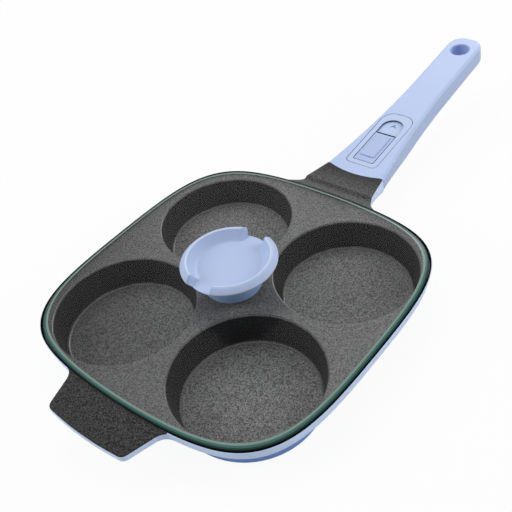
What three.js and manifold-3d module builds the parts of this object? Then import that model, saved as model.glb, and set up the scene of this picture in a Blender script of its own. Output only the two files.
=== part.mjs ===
// Four-cup egg pan: cast body, flat glass lid with a dished knob, and a pull-off handle held by a wedge clamp.
// Millimetres. +X runs along the handle, +Z is up, and the cup bottoms rest on z = 0.
import * as THREE from 'three';
import { ParametricGeometry } from 'three/addons/geometries/ParametricGeometry.js';
import { mergeVertices } from 'three/addons/utils/BufferGeometryUtils.js';
import Module from 'manifold-3d';

// Fits and facet counts
const FIT = 0.25;
const LID_CLEARANCE = 0.5;
const CUT_OVERRUN = 2;
const OUTLINE_POINTS = 88;
const CUP_SEGMENTS = 44;
const KNOB_SEGMENTS = 48;
const SCREW_SEGMENTS = 16;
const RING_SEGMENTS = 24;
const ROUND_STEPS = 3;
const SUPPORT_OVERLAP = 0.6;

// Cups
const CUP_PITCH = 102;
const CUP_RIM_RADIUS = 46.8;
const CUP_FLOOR_RADIUS = 43;
const CUP_DEPTH = 20.5;
const CUP_FLOOR = 2.6;
const CUP_WALL = 2;
const CUP_LIP_ROUND = 1.7;
const CUP_FLOOR_ROUND = 2.6;
const CUP_BASE_ROUND = 6;

// Deck, rim and skirt
const RIM_MARGIN = 8.9;
const RIM_SQUARENESS = 3.95;
const SIDE_BOW_ALONG = 2.2;
const SIDE_BOW_ACROSS = 0.6;
const SIDE_BOW_REACH = 70;
const RIM_HEIGHT = 4;
const RIM_WALL = 1.2;
const RIM_ROUND = 0.6;
const LEDGE_HEIGHT = 0.9;
const LEDGE_WIDTH = 2.2;
const LEDGE_SLOPE = 0.8;
const DECK_THICKNESS = 2.8;
const SKIRT_DROP = 4;
const SKIRT_WALL = 4;
const SKIRT_DRAFT = 1.1;
const SKIRT_ROUND = 1.2;
const SCREW_DIMPLE_RADIUS = 11;
const SCREW_DIMPLE_CLEARANCE = 0.6;
const SCREW_DIMPLE_WALL = 2.4;

// Helper tab
const TAB_REACH = 25.4;
const TAB_BOW = 1.5;
const TAB_ROOT_WIDTH = 78;
const TAB_TIP_WIDTH = 62;
const TAB_THICKNESS = 6;
const TAB_CORNER = 4;
const TAB_FLARE = 10;
const TAB_EDGE_ROUND = 1.6;
const TAB_DROP = 0.6;

// Neck and tongue
const NECK_REACH = 29.3;
const NECK_ROOT_WIDTH = 61;
const NECK_FLARE = 8;
const NECK_FLARE_POWER = 8;
const NECK_DIP = 1.5;
const NECK_VALLEY = 0.28;
const NECK_STEP_END = 0.46;
const NECK_DEPTH_POWER = 2;
const NECK_EMBED = 9;
const NECK_TOP_ROUND = 2;
const NECK_STATIONS = 18;
const TONGUE_LENGTH = 38;
const TONGUE_WIDTH = 18;
const TONGUE_THICKNESS = 4;
const TONGUE_CHAMFER = 1;
const TONGUE_ROOT = 8;

// Glass lid
const GLASS_THICKNESS = 4;
const GLASS_SQUARENESS = 3.88;
const GLASS_EDGE = 0.5;
const GLASS_BEVEL_WIDTH = 3;
const GLASS_BEVEL_DROP = 0.9;
const GLASS_HOLE_RADIUS = 3.4;

// Knob and its fastening
const KNOB_RADIUS = 31.2;
const KNOB_HEIGHT = 23;
const KNOB_RIM_WIDTH = 7.4;
const KNOB_RIM_HEIGHT = 6;
const KNOB_RIM_SWEEP = THREE.MathUtils.degToRad(270);
const KNOB_DISH_DEPTH = 7.2;
const KNOB_DISH_RADIUS = 20.5;
const KNOB_STEM_RADIUS = 19;
const KNOB_STEM_HEIGHT = 8.8;
const KNOB_NOTCH_WIDTH = 17;
const GASKET_RADIUS = 18;
const GASKET_THICKNESS = 0.8;
const UNDER_GASKET_RADIUS = 8;
const UNDER_GASKET_THICKNESS = 0.8;
const KNOB_WASHER_RADIUS = 7;
const KNOB_WASHER_THICKNESS = 0.7;
const KNOB_SCREW_RADIUS = 2.4;
const KNOB_SCREW_HEAD_RADIUS = 4.6;
const KNOB_SCREW_HEAD = 1.6;
const KNOB_SCREW_GRIP = 8;
const INSERT_RADIUS = 4.4;
const INSERT_LENGTH = 9.5;

// Handle grip
const HANDLE_PITCH = THREE.MathUtils.degToRad(6.84);
const HANDLE_LIFT = 3.7;
const HANDLE_LENGTH = 182.6;
const HANDLE_ROOT_WIDTH = 49.6;
const HANDLE_GRIP_WIDTH = 28.5;
const HANDLE_TAPER = 124;
const HANDLE_TIP_THICKNESS = 16.5;
const HANDLE_TIP_TAPER = 70;
const HANDLE_TIP_REACH = 14;
const HANDLE_TIP_SQUARENESS = 2.4;
const HANDLE_TOP_ROUND = 3;
const HANDLE_BOTTOM_ROUND = 4;
const HANDLE_ROOT_ROUND = 10;
const HANDLE_ROOT_BLEND = 54;
const MOUTH_BOW = 3;
const SIDE_POINTS = 14;
const TIP_POINTS = 14;
const MOUTH_POINTS = 8;
const HANG_HOLE_RADIUS = 7.2;
const HANG_HOLE_ROUND = 1;
const HANG_HOLE_FROM_TIP = 18.2;

// Lock track inlay on top of the handle
const BEZEL_START = 10;
const BEZEL_LENGTH = 62;
const BEZEL_WIDTH = 26.6;
const BEZEL_THICKNESS = 2.4;
const BEZEL_NEAR_CORNER = 4;
const BEZEL_FAR_CORNER = 10;
const TRACK_INSET = 4.5;
const TRACK_LENGTH = 50;
const TRACK_WIDTH = 17.4;
const TRACK_DEPTH = 1.5;
const TRACK_CORNER = 1.5;
const MARK_WIDTH = 5;
const MARK_LENGTH = 4;
const MARK_DEPTH = 0.4;
const MARK_FROM_END = 3.2;

// Lock slider and wedge clamp
const SLIDE_TRAVEL = 8;
const SLIDER_LENGTH = 33.5;
const SLIDER_CORNER = 1.2;
const PAD_RISE = 0.9;
const PAD_INSET = 2.3;
const PAD_LIP = 5.4;
const PAD_EDGE = 0.4;
const PAD_EDGE_STEPS = 1;
const STEM_START = 16;
const STEM_LENGTH = 8;
const STEM_WIDTH = 6;
const SLIDER_SCREW_RADIUS = 0.9;
const SLIDER_SCREW_HEAD_RADIUS = 2;
const SLIDER_SCREW_HEAD = 0.9;
const SLIDER_SCREW_GRIP = 1.7;
const WEDGE_SLOPE = 0.1;
const WEDGE_TIP = 1.2;
const WEDGE_LENGTH = 20;
const WEDGE_WIDTH = 14;
const WEDGE_TAIL = 2;
const JAW_START = 20;
const JAW_LENGTH = 16;
const JAW_HEEL = 1.3;
const JAW_PAD_THICKNESS = 0.8;
const JAW_PAD_INSET = 1;
const SPRING_RADIUS = 2.2;
const SPRING_WIRE_RADIUS = 0.35;
const SPRING_TURNS = 9;
const SPRING_STEPS = 8;
const SPRING_SIDES = 6;
const SPRING_ROOM = 24;

// Clamp frame, cover and their screws
const FRAME_GAUGE = 0.8;
const FRAME_START = 2;
const FRAME_WALL_LENGTH = 38;
const FRAME_WALL_RISE = 7.4;
const FRAME_SCREW_SPREAD = 12.4;
const FRAME_SCREW_FROM_END = 6;
const COVER_START = 6;
const COVER_LENGTH = 76;
const COVER_WIDTH = 23;
const COVER_THICKNESS = 3.8;
const COVER_CORNER = 5;
const COVER_HOOK = 2;
const COVER_HOOK_WIDTH = 14;
const COVER_SCREW_SPREAD = 12;
const COVER_SCREW_FROM_END = 6;
const HANDLE_SCREW_RADIUS = 1.2;
const HANDLE_SCREW_HEAD_RADIUS = 2.3;
const HANDLE_SCREW_HEAD = 1;
const HANDLE_SCREW_GRIP = 5;
const SCREW_BOSS_WALL = 1.4;

// Heights that follow from the sizes above
const DECK = CUP_DEPTH + CUP_FLOOR;
const HALF_PAN = CUP_PITCH / 2 + CUP_RIM_RADIUS + RIM_MARGIN;
const HALF_LID = HALF_PAN - RIM_WALL - LID_CLEARANCE;
const GLASS_BOTTOM = DECK + LEDGE_HEIGHT + FIT;
const GLASS_TOP = GLASS_BOTTOM + GLASS_THICKNESS;
const UNDER_GASKET_BOTTOM = GLASS_BOTTOM - FIT - UNDER_GASKET_THICKNESS;
const WASHER_BOTTOM = UNDER_GASKET_BOTTOM - FIT - KNOB_WASHER_THICKNESS;
const SCREW_HEAD_BOTTOM = WASHER_BOTTOM - FIT - KNOB_SCREW_HEAD;
const KNOB_BOTTOM = GLASS_TOP + FIT + GASKET_THICKNESS + FIT;

// Levels inside the handle, measured down from its top face
const BEZEL_BOTTOM = -BEZEL_THICKNESS;
const TRACK_FLOOR = -TRACK_DEPTH;
const SLIDER_BOTTOM = TRACK_FLOOR + FIT;
const WEDGE_TOP = BEZEL_BOTTOM - FIT;
const JAW_NEAR_TOP = WEDGE_TOP - WEDGE_TIP - FIT;
const JAW_BOTTOM = JAW_NEAR_TOP - WEDGE_SLOPE * JAW_LENGTH - JAW_HEEL;
const PAD_BOTTOM = JAW_BOTTOM - FIT - JAW_PAD_THICKNESS;
const TONGUE_TOP = PAD_BOTTOM - FIT;
const TONGUE_BOTTOM = TONGUE_TOP - TONGUE_THICKNESS;
const FRAME_TOP = TONGUE_BOTTOM - FIT;
const FRAME_BOTTOM = FRAME_TOP - FRAME_GAUGE;
const FRAME_WALL_TOP = FRAME_TOP + FRAME_WALL_RISE;
const COVER_TOP = FRAME_BOTTOM - FIT;
const HANDLE_THICKNESS = COVER_THICKNESS - COVER_TOP;
const SPRING_LEVEL = TONGUE_TOP;

// Stations along the handle, measured from the middle of its mouth
const TRACK_START = BEZEL_START + TRACK_INSET;
const TRACK_END = TRACK_START + TRACK_LENGTH;
const SLIDER_START = TRACK_START + FIT;
const STEM_CENTRE = TRACK_START + STEM_START + STEM_LENGTH / 2 - TRACK_INSET;
const WEDGE_END = JAW_START + WEDGE_LENGTH;
const SPRING_START = WEDGE_END + WEDGE_TAIL / 2 + FIT;
const POCKET_END = SPRING_START + SPRING_ROOM + FIT;
const FRAME_END = POCKET_END - FIT;
const FRAME_HALF = TONGUE_WIDTH / 2 + FIT + FRAME_GAUGE;
const POCKET_HALF = FRAME_HALF + FIT;
const POCKET_TOP = FRAME_WALL_TOP + FIT;
const FRAME_SCREW_STATION = FRAME_END - FRAME_SCREW_FROM_END;
const COVER_END = COVER_START + COVER_LENGTH;
const COVER_SCREW_STATION = COVER_END - COVER_SCREW_FROM_END;
const HANG_HOLE_STATION = HANDLE_LENGTH - HANG_HOLE_FROM_TIP;

const wasm = await Module();
wasm.setup();

// Turns a closed geometry into a solid whose faces point out.
function solid(geometry) {
  const bare = geometry.index ? geometry.toNonIndexed() : geometry.clone();
  for (const name of Object.keys(bare.attributes)) {
    if (name !== 'position') {
      bare.deleteAttribute(name);
    }
  }
  const merged = mergeVertices(bare);
  const points = merged.attributes.position.array;
  const corners = merged.index.array;
  const kept = [];
  let volume = 0;
  const a = new THREE.Vector3();
  const b = new THREE.Vector3();
  const c = new THREE.Vector3();
  for (let i = 0; i < corners.length; i += 3) {
    const [p, q, r] = corners.slice(i, i + 3);
    if (p === q || q === r || r === p) {
      continue;
    }
    kept.push([p, q, r]);
    a.fromArray(points, 3 * p);
    b.fromArray(points, 3 * q);
    c.fromArray(points, 3 * r);
    volume += a.dot(b.cross(c));
  }
  const faces = volume < 0 ? kept.map(([p, q, r]) => [p, r, q]) : kept;
  const mesh = new wasm.Mesh({
    numProp: 3,
    vertProperties: new Float32Array(points),
    triVerts: new Uint32Array(faces.flat()),
  });
  return new wasm.Manifold(mesh);
}

// Turns a solid back into a geometry.
function geometryOf(body) {
  const mesh = body.getMesh();
  const geometry = new THREE.BufferGeometry();
  geometry.setAttribute('position', new THREE.BufferAttribute(mesh.vertProperties, mesh.numProp));
  geometry.setIndex(new THREE.BufferAttribute(mesh.triVerts, 1));
  geometry.computeVertexNormals();
  return geometry;
}

function join(first, ...rest) {
  return rest.reduce((sum, piece) => sum.add(piece), first);
}

function cut(body, ...tools) {
  return tools.reduce((left, tool) => left.subtract(tool), body);
}

// A closed skin through equal rings of points, with each end closed at the middle of its ring.
function loft(rings) {
  const around = rings[0].length;
  const middle = (ring) => {
    const centre = ring.reduce((sum, point) => sum.add(point), new THREE.Vector3()).divideScalar(around);
    return ring.map(() => centre);
  };
  const rows = [middle(rings[0]), ...rings, middle(rings[rings.length - 1])];
  const last = rows.length - 1;
  const place = (s, t, target) => {
    target.copy(rows[Math.round(t * last)][Math.round(s * around) % around]);
  };
  return new ParametricGeometry(place, around, last);
}

// A body of revolution about +Z through [radius, height] points.
function turned(profile, segments) {
  const points = profile.map(([radius, height]) => new THREE.Vector2(radius, height));
  return new THREE.LatheGeometry(points, segments).rotateX(Math.PI / 2);
}

// A turned ring or sleeve, closed on itself.
function sleeve(inner, outer, bottom, top, segments) {
  return turned([[inner, bottom], [outer, bottom], [outer, top], [inner, top], [inner, bottom]], segments);
}

// A turned plug from the axis outward.
function plug(radius, bottom, top, segments) {
  return turned([[0, bottom], [radius, bottom], [radius, top], [0, top]], segments);
}

// Points of a quarter round from one direction to another, as [x, y] offsets.
function arc(centre, radius, from, to, steps) {
  return Array.from({ length: steps + 1 }, (_, i) => {
    const angle = from + ((to - from) * i) / steps;
    return [centre[0] + radius * Math.cos(angle), centre[1] + radius * Math.sin(angle)];
  });
}

function box(start, end, halfWidth, bottom, top) {
  const geometry = new THREE.BoxGeometry(end - start, 2 * halfWidth, top - bottom);
  return geometry.translate((start + end) / 2, 0, (bottom + top) / 2);
}

// How far a side of the pan bows out, at a distance from the side's middle.
function sideBow(bow, distance) {
  const share = Math.min(1, Math.abs(distance) / SIDE_BOW_REACH);
  return bow * Math.cos((share * Math.PI) / 2) ** 2;
}

// A squared-off round outline with bowed sides, at one height.
function squareRing(half, squareness, height) {
  const power = 2 / squareness;
  return Array.from({ length: OUTLINE_POINTS }, (_, i) => {
    const angle = (2 * Math.PI * i) / OUTLINE_POINTS;
    const along = half * Math.abs(Math.cos(angle)) ** power;
    const across = half * Math.abs(Math.sin(angle)) ** power;
    return new THREE.Vector3(
      Math.sign(Math.cos(angle)) * (along + sideBow(SIDE_BOW_ALONG, across)),
      Math.sign(Math.sin(angle)) * (across + sideBow(SIDE_BOW_ACROSS, along)),
      height,
    );
  });
}

function squareLoft(profile, squareness) {
  return loft(profile.map(([half, height]) => squareRing(half, squareness, height)));
}

// A plan outline with its own corner radius at the near and the far end.
function roundedPlan(start, end, halfWidth, nearCorner, farCorner) {
  const shape = new THREE.Shape();
  const quarter = Math.PI / 2;
  shape.absarc(start + nearCorner, -halfWidth + nearCorner, nearCorner, 2 * quarter, 3 * quarter);
  shape.absarc(end - farCorner, -halfWidth + farCorner, farCorner, 3 * quarter, 4 * quarter);
  shape.absarc(end - farCorner, halfWidth - farCorner, farCorner, 0, quarter);
  shape.absarc(start + nearCorner, halfWidth - nearCorner, nearCorner, quarter, 2 * quarter);
  shape.closePath();
  return shape;
}

function slab(shape, bottom, top) {
  const settings = { depth: top - bottom, bevelEnabled: false, curveSegments: 2 * ROUND_STEPS };
  return new THREE.ExtrudeGeometry(shape, settings).translate(0, 0, bottom);
}

// A side profile in the handle's long section, drawn as [station, level], swept across its width.
function acrossHandle(points, halfWidth) {
  const shape = new THREE.Shape(points.map(([station, level]) => new THREE.Vector2(station, level)));
  const geometry = new THREE.ExtrudeGeometry(shape, { depth: 2 * halfWidth, bevelEnabled: false });
  return geometry.rotateX(Math.PI / 2).translate(0, halfWidth, 0);
}

// The handle's own frame, from the middle of its mouth's top edge
const handlePlace = new THREE.Matrix4()
  .makeRotationY(-HANDLE_PITCH)
  .setPosition(HALF_PAN + NECK_REACH, 0, DECK + HANDLE_LIFT);

function handleHalfWidth(station) {
  const left = Math.max(0, 1 - station / HANDLE_TAPER);
  return HANDLE_GRIP_WIDTH / 2 + ((HANDLE_ROOT_WIDTH - HANDLE_GRIP_WIDTH) / 2) * left * left;
}

function handleDepth(station) {
  const taperStart = HANDLE_LENGTH - HANDLE_TIP_TAPER;
  const share = THREE.MathUtils.smoothstep(station, taperStart, HANDLE_LENGTH - HANDLE_TIP_REACH);
  return THREE.MathUtils.lerp(HANDLE_THICKNESS, HANDLE_TIP_THICKNESS, share);
}

// The lower edges are rounded more at the mouth than along the grip.
function handleBottomRound(station) {
  const share = THREE.MathUtils.smoothstep(station, 0, HANDLE_ROOT_BLEND);
  return THREE.MathUtils.lerp(HANDLE_ROOT_ROUND, HANDLE_BOTTOM_ROUND, share);
}

// How far the mouth's edge draws back from its middle at one place across the handle.
function mouthSetback(across) {
  const share = across / (HANDLE_ROOT_WIDTH / 2);
  return MOUTH_BOW * share * share;
}

// The cast body: four cups in a square deck, with the neck, its tongue and the helper tab.
function cupCentres() {
  const half = CUP_PITCH / 2;
  return [[half, half], [-half, half], [-half, -half], [half, -half]];
}

function cupHollow() {
  const floor = DECK - CUP_DEPTH;
  const lip = CUP_RIM_RADIUS + CUP_LIP_ROUND;
  const fillet = arc(
    [CUP_FLOOR_RADIUS - CUP_FLOOR_ROUND, floor + CUP_FLOOR_ROUND],
    CUP_FLOOR_ROUND,
    -Math.PI / 2,
    0,
    ROUND_STEPS,
  );
  const edge = arc([lip, DECK - CUP_LIP_ROUND], CUP_LIP_ROUND, Math.PI, Math.PI / 2, ROUND_STEPS);
  const profile = [[0, floor], ...fillet, ...edge, [lip, DECK + CUT_OVERRUN], [0, DECK + CUT_OVERRUN]];
  return turned(profile, CUP_SEGMENTS);
}

function cupShell() {
  const top = DECK - DECK_THICKNESS + SUPPORT_OVERLAP;
  const wallFoot = CUP_FLOOR_RADIUS + CUP_WALL;
  const heel = arc(
    [wallFoot - CUP_BASE_ROUND, CUP_BASE_ROUND],
    CUP_BASE_ROUND,
    -Math.PI / 2,
    0,
    ROUND_STEPS,
  );
  return turned([[0, 0], ...heel, [CUP_RIM_RADIUS + CUP_WALL, top], [0, top]], CUP_SEGMENTS);
}

function deckSlab() {
  const top = DECK + RIM_HEIGHT;
  const bottom = DECK - SKIRT_DROP;
  const foot = HALF_PAN - SKIRT_DRAFT;
  return squareLoft(
    [
      [HALF_PAN - RIM_ROUND, top],
      [HALF_PAN, top - RIM_ROUND],
      [foot, bottom + SKIRT_ROUND],
      [foot - SKIRT_ROUND, bottom],
      [foot - SKIRT_WALL, bottom],
      [foot - SKIRT_WALL, DECK - DECK_THICKNESS],
    ],
    RIM_SQUARENESS,
  );
}

// The shallow seat that the lid drops into, with a ledge under the glass edge.
function lidSeat() {
  const inner = HALF_PAN - RIM_WALL;
  const top = DECK + RIM_HEIGHT;
  const ledge = DECK + LEDGE_HEIGHT;
  return squareLoft(
    [
      [inner - LEDGE_WIDTH - LEDGE_SLOPE, DECK],
      [inner - LEDGE_WIDTH, ledge],
      [inner, ledge],
      [inner, top - RIM_ROUND],
      [inner + RIM_ROUND, top],
      [inner + RIM_ROUND, top + CUT_OVERRUN],
    ],
    RIM_SQUARENESS,
  );
}

function tabSlab() {
  const root = HALF_PAN - TAB_FLARE;
  const tip = HALF_PAN + TAB_REACH - TAB_EDGE_ROUND;
  const rootHalf = TAB_ROOT_WIDTH / 2 - TAB_EDGE_ROUND;
  const tipHalf = TAB_TIP_WIDTH / 2 - TAB_EDGE_ROUND;
  const shape = new THREE.Shape();
  shape.moveTo(-root, -rootHalf - TAB_FLARE);
  shape.quadraticCurveTo(-HALF_PAN, -rootHalf - TAB_FLARE / 2, -HALF_PAN - RIM_ROUND, -rootHalf);
  shape.lineTo(-tip + TAB_CORNER, -tipHalf);
  shape.quadraticCurveTo(-tip, -tipHalf, -tip, -tipHalf + TAB_CORNER);
  shape.quadraticCurveTo(-tip - 2 * TAB_BOW, 0, -tip, tipHalf - TAB_CORNER);
  shape.quadraticCurveTo(-tip, tipHalf, -tip + TAB_CORNER, tipHalf);
  shape.lineTo(-HALF_PAN - RIM_ROUND, rootHalf);
  shape.quadraticCurveTo(-HALF_PAN, rootHalf + TAB_FLARE / 2, -root, rootHalf + TAB_FLARE);
  shape.closePath();
  const geometry = new THREE.ExtrudeGeometry(shape, {
    depth: TAB_THICKNESS - 2 * TAB_EDGE_ROUND,
    bevelThickness: TAB_EDGE_ROUND,
    bevelSize: TAB_EDGE_ROUND,
    bevelSegments: ROUND_STEPS,
    curveSegments: 2 * ROUND_STEPS,
  });
  return geometry.translate(0, 0, DECK + RIM_HEIGHT - TAB_DROP - TAB_THICKNESS + TAB_EDGE_ROUND);
}

// One ring of the neck: a rounded bar section, [across, up] from its middle top.
function barSection(halfWidth, depth, topRound, bottomRound) {
  const half = Math.PI / 2;
  const low = Math.min(bottomRound, depth / 2);
  const side = halfWidth - topRound;
  const foot = halfWidth - low;
  const spread = (from, to, level) =>
    Array.from({ length: MOUTH_POINTS - 1 }, (_, i) => [from + ((to - from) * (i + 1)) / MOUTH_POINTS, level]);
  return [
    ...arc([side, -topRound], topRound, 0, half, ROUND_STEPS),
    ...spread(side, -side, 0),
    ...arc([-side, -topRound], topRound, half, 2 * half, ROUND_STEPS),
    ...arc([-foot, -depth + low], low, 2 * half, 3 * half, ROUND_STEPS),
    ...spread(-foot, foot, -depth),
    ...arc([foot, -depth + low], low, 3 * half, 4 * half, ROUND_STEPS),
  ];
}

function neckBar() {
  const rootDepth = RIM_HEIGHT + SKIRT_DROP;
  const section = (halfWidth, depth) => barSection(halfWidth, depth, NECK_TOP_ROUND, HANDLE_ROOT_ROUND);
  const mouth = section(HANDLE_ROOT_WIDTH / 2, HANDLE_THICKNESS).map(([across, level]) =>
    new THREE.Vector3(MOUTH_BOW + CUT_OVERRUN, across, level).applyMatrix4(handlePlace),
  );
  const rings = Array.from({ length: NECK_STATIONS }, (_, i) => {
    const x = -NECK_EMBED + ((NECK_REACH + NECK_EMBED - CUT_OVERRUN) * i) / NECK_STATIONS;
    const share = Math.max(0, x / NECK_REACH);
    const flare = NECK_FLARE * (1 - share) ** NECK_FLARE_POWER;
    const halfWidth = THREE.MathUtils.lerp(NECK_ROOT_WIDTH, HANDLE_ROOT_WIDTH, share) / 2 + flare;
    const fall = THREE.MathUtils.smoothstep(share, 0, NECK_VALLEY);
    const rise = THREE.MathUtils.smoothstep(share, NECK_VALLEY, NECK_STEP_END);
    const dip = NECK_DIP * (fall - rise);
    const top = THREE.MathUtils.lerp(RIM_HEIGHT, HANDLE_LIFT, share) - dip;
    const depth = THREE.MathUtils.lerp(rootDepth, HANDLE_THICKNESS, share ** NECK_DEPTH_POWER) - dip;
    return section(halfWidth, depth).map(
      ([across, level]) => new THREE.Vector3(HALF_PAN + x, across, DECK + top + level),
    );
  });
  return cut(solid(loft([...rings, mouth])), solid(mouthTrim()));
}

// Everything beyond the handle's bowed mouth, less the fit.
function mouthTrim() {
  const reach = HANDLE_ROOT_WIDTH;
  const bow = Array.from({ length: 2 * MOUTH_POINTS + 1 }, (_, i) => {
    const across = (HANDLE_ROOT_WIDTH / 2) * (1 - i / MOUTH_POINTS);
    return new THREE.Vector2(mouthSetback(across) - FIT, across);
  });
  const shape = new THREE.Shape([
    new THREE.Vector2(reach, reach),
    new THREE.Vector2(MOUTH_BOW - FIT, reach),
    ...bow,
    new THREE.Vector2(MOUTH_BOW - FIT, -reach),
    new THREE.Vector2(reach, -reach),
  ]);
  return slab(shape, -HANDLE_THICKNESS - reach, reach).applyMatrix4(handlePlace);
}

function tongueBar() {
  const half = TONGUE_WIDTH / 2;
  const shape = new THREE.Shape();
  shape.moveTo(-TONGUE_ROOT, -half);
  shape.lineTo(TONGUE_LENGTH - TONGUE_CHAMFER, -half);
  shape.lineTo(TONGUE_LENGTH, -half + TONGUE_CHAMFER);
  shape.lineTo(TONGUE_LENGTH, half - TONGUE_CHAMFER);
  shape.lineTo(TONGUE_LENGTH - TONGUE_CHAMFER, half);
  shape.lineTo(-TONGUE_ROOT, half);
  shape.closePath();
  return slab(shape, TONGUE_BOTTOM, TONGUE_TOP).applyMatrix4(handlePlace);
}

function panBody() {
  const dimpleFloor = SCREW_HEAD_BOTTOM - SCREW_DIMPLE_CLEARANCE;
  const boss = plug(
    SCREW_DIMPLE_RADIUS + SCREW_DIMPLE_WALL,
    dimpleFloor - SCREW_DIMPLE_WALL,
    DECK - DECK_THICKNESS + SUPPORT_OVERLAP,
    CUP_SEGMENTS,
  );
  const dimple = plug(SCREW_DIMPLE_RADIUS, dimpleFloor, DECK + CUT_OVERRUN, CUP_SEGMENTS);
  const at = (geometry, [x, y]) => solid(geometry.translate(x, y, 0));
  const shells = cupCentres().map((centre) => at(cupShell(), centre));
  const hollows = cupCentres().map((centre) => at(cupHollow(), centre));
  const full = join(
    solid(deckSlab()),
    solid(tabSlab()),
    neckBar(),
    solid(tongueBar()),
    solid(boss),
    ...shells,
  );
  return geometryOf(cut(full, solid(lidSeat()), solid(dimple), ...hollows));
}

// Lid glass with a bevelled upper edge and a hole for the knob screw
function glassLid() {
  const plate = squareLoft(
    [
      [HALF_LID - GLASS_EDGE, GLASS_BOTTOM],
      [HALF_LID, GLASS_BOTTOM + GLASS_EDGE],
      [HALF_LID, GLASS_TOP - GLASS_BEVEL_DROP],
      [HALF_LID - GLASS_BEVEL_WIDTH, GLASS_TOP],
    ],
    GLASS_SQUARENESS,
  );
  const hole = plug(GLASS_HOLE_RADIUS, GLASS_BOTTOM - CUT_OVERRUN, GLASS_TOP + CUT_OVERRUN, SCREW_SEGMENTS);
  return geometryOf(cut(solid(plate), solid(hole)));
}

// A knob with a dish on top, cut through on both sides so that a spatula lies across it.
function lidKnob() {
  const top = KNOB_BOTTOM + KNOB_HEIGHT;
  const floor = top - KNOB_DISH_DEPTH;
  const rimHalf = KNOB_RIM_HEIGHT / 2;
  const rimCentre = KNOB_RADIUS - KNOB_RIM_WIDTH / 2;
  const steps = 4 * ROUND_STEPS;
  const rim = Array.from({ length: steps + 1 }, (_, i) => {
    const angle = Math.PI - (KNOB_RIM_SWEEP * i) / steps;
    const radius = rimCentre + (KNOB_RIM_WIDTH / 2) * Math.cos(angle);
    return [radius, top - rimHalf + rimHalf * Math.sin(angle)];
  });
  const underside = [KNOB_STEM_RADIUS, KNOB_BOTTOM + KNOB_STEM_HEIGHT];
  const bore = INSERT_RADIUS + FIT;
  const boreTop = KNOB_BOTTOM + FIT + INSERT_LENGTH + FIT;
  const body = turned(
    [
      [0, floor],
      [KNOB_DISH_RADIUS, floor],
      ...rim,
      underside,
      [KNOB_STEM_RADIUS, KNOB_BOTTOM],
      [bore, KNOB_BOTTOM],
      [bore, boreTop],
      [0, boreTop],
    ],
    KNOB_SEGMENTS,
  );
  const reach = KNOB_RADIUS + CUT_OVERRUN;
  const notch = box(-reach, reach, KNOB_NOTCH_WIDTH / 2, floor, top + CUT_OVERRUN);
  return geometryOf(cut(solid(body), solid(notch)));
}

// A plain headed screw: head at the low end, shank pointing up.
function headedScrew(headRadius, headBottom, headTop, shankRadius, shankTop) {
  return turned(
    [
      [0, headBottom],
      [headRadius, headBottom],
      [headRadius, headTop],
      [shankRadius, headTop],
      [shankRadius, shankTop],
      [0, shankTop],
    ],
    SCREW_SEGMENTS,
  );
}

// The handle's plan outline, walked round once; the last points run across the mouth.
function handleOutline() {
  const tipStart = HANDLE_LENGTH - HANDLE_TIP_REACH;
  const half = Math.PI / 2;
  const power = 2 / HANDLE_TIP_SQUARENESS;
  const places = [];
  const put = (station, across, atMouth) => {
    places.push({ station, across, atMouth });
  };
  const side = (i) => THREE.MathUtils.lerp(MOUTH_BOW, tipStart, i / SIDE_POINTS);
  for (let i = 1; i < SIDE_POINTS; i += 1) {
    put(side(i), -handleHalfWidth(side(i)), false);
  }
  for (let i = 0; i <= TIP_POINTS; i += 1) {
    const angle = -half + (2 * half * i) / TIP_POINTS;
    const across = handleHalfWidth(tipStart) * Math.sign(angle) * Math.abs(Math.sin(angle)) ** power;
    put(tipStart + HANDLE_TIP_REACH * Math.abs(Math.cos(angle)) ** power, across, false);
  }
  for (let i = SIDE_POINTS - 1; i > 0; i -= 1) {
    put(side(i), handleHalfWidth(side(i)), false);
  }
  for (let i = 0; i <= 2 * MOUTH_POINTS; i += 1) {
    const across = (HANDLE_ROOT_WIDTH / 2) * (1 - i / MOUTH_POINTS);
    put(mouthSetback(across), across, true);
  }
  return places;
}

function handleBlank() {
  const places = handleOutline();
  const count = places.length;
  const ring = (turn, low) =>
    places.map((place, i) => {
      const next = places[(i + 1) % count];
      const last = places[(i + count - 1) % count];
      const out = new THREE.Vector2(next.across - last.across, last.station - next.station).normalize();
      const radius = low ? handleBottomRound(place.station) : HANDLE_TOP_ROUND;
      const inset = radius * (1 - Math.sin(turn));
      const drop = radius * (1 - Math.cos(turn));
      const level = low ? drop - handleDepth(place.station) : -drop;
      if (place.atMouth) {
        const across = place.across * (1 - inset / (HANDLE_ROOT_WIDTH / 2));
        return new THREE.Vector3(mouthSetback(across), across, level);
      }
      return new THREE.Vector3(place.station - inset * out.x, place.across - inset * out.y, level);
    });
  const turns = Array.from({ length: ROUND_STEPS + 1 }, (_, i) => ((Math.PI / 2) * i) / ROUND_STEPS);
  const upper = turns.map((turn) => ring(turn, false));
  const lower = turns.reverse().map((turn) => ring(turn, true));
  return loft([...upper, ...lower]);
}

function handleScrewHole(station, across, bottom, top) {
  return plug(HANDLE_SCREW_RADIUS + FIT, bottom, top, SCREW_SEGMENTS).translate(station, across, 0);
}

function pairOf(spread) {
  return [-spread / 2, spread / 2];
}

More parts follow.
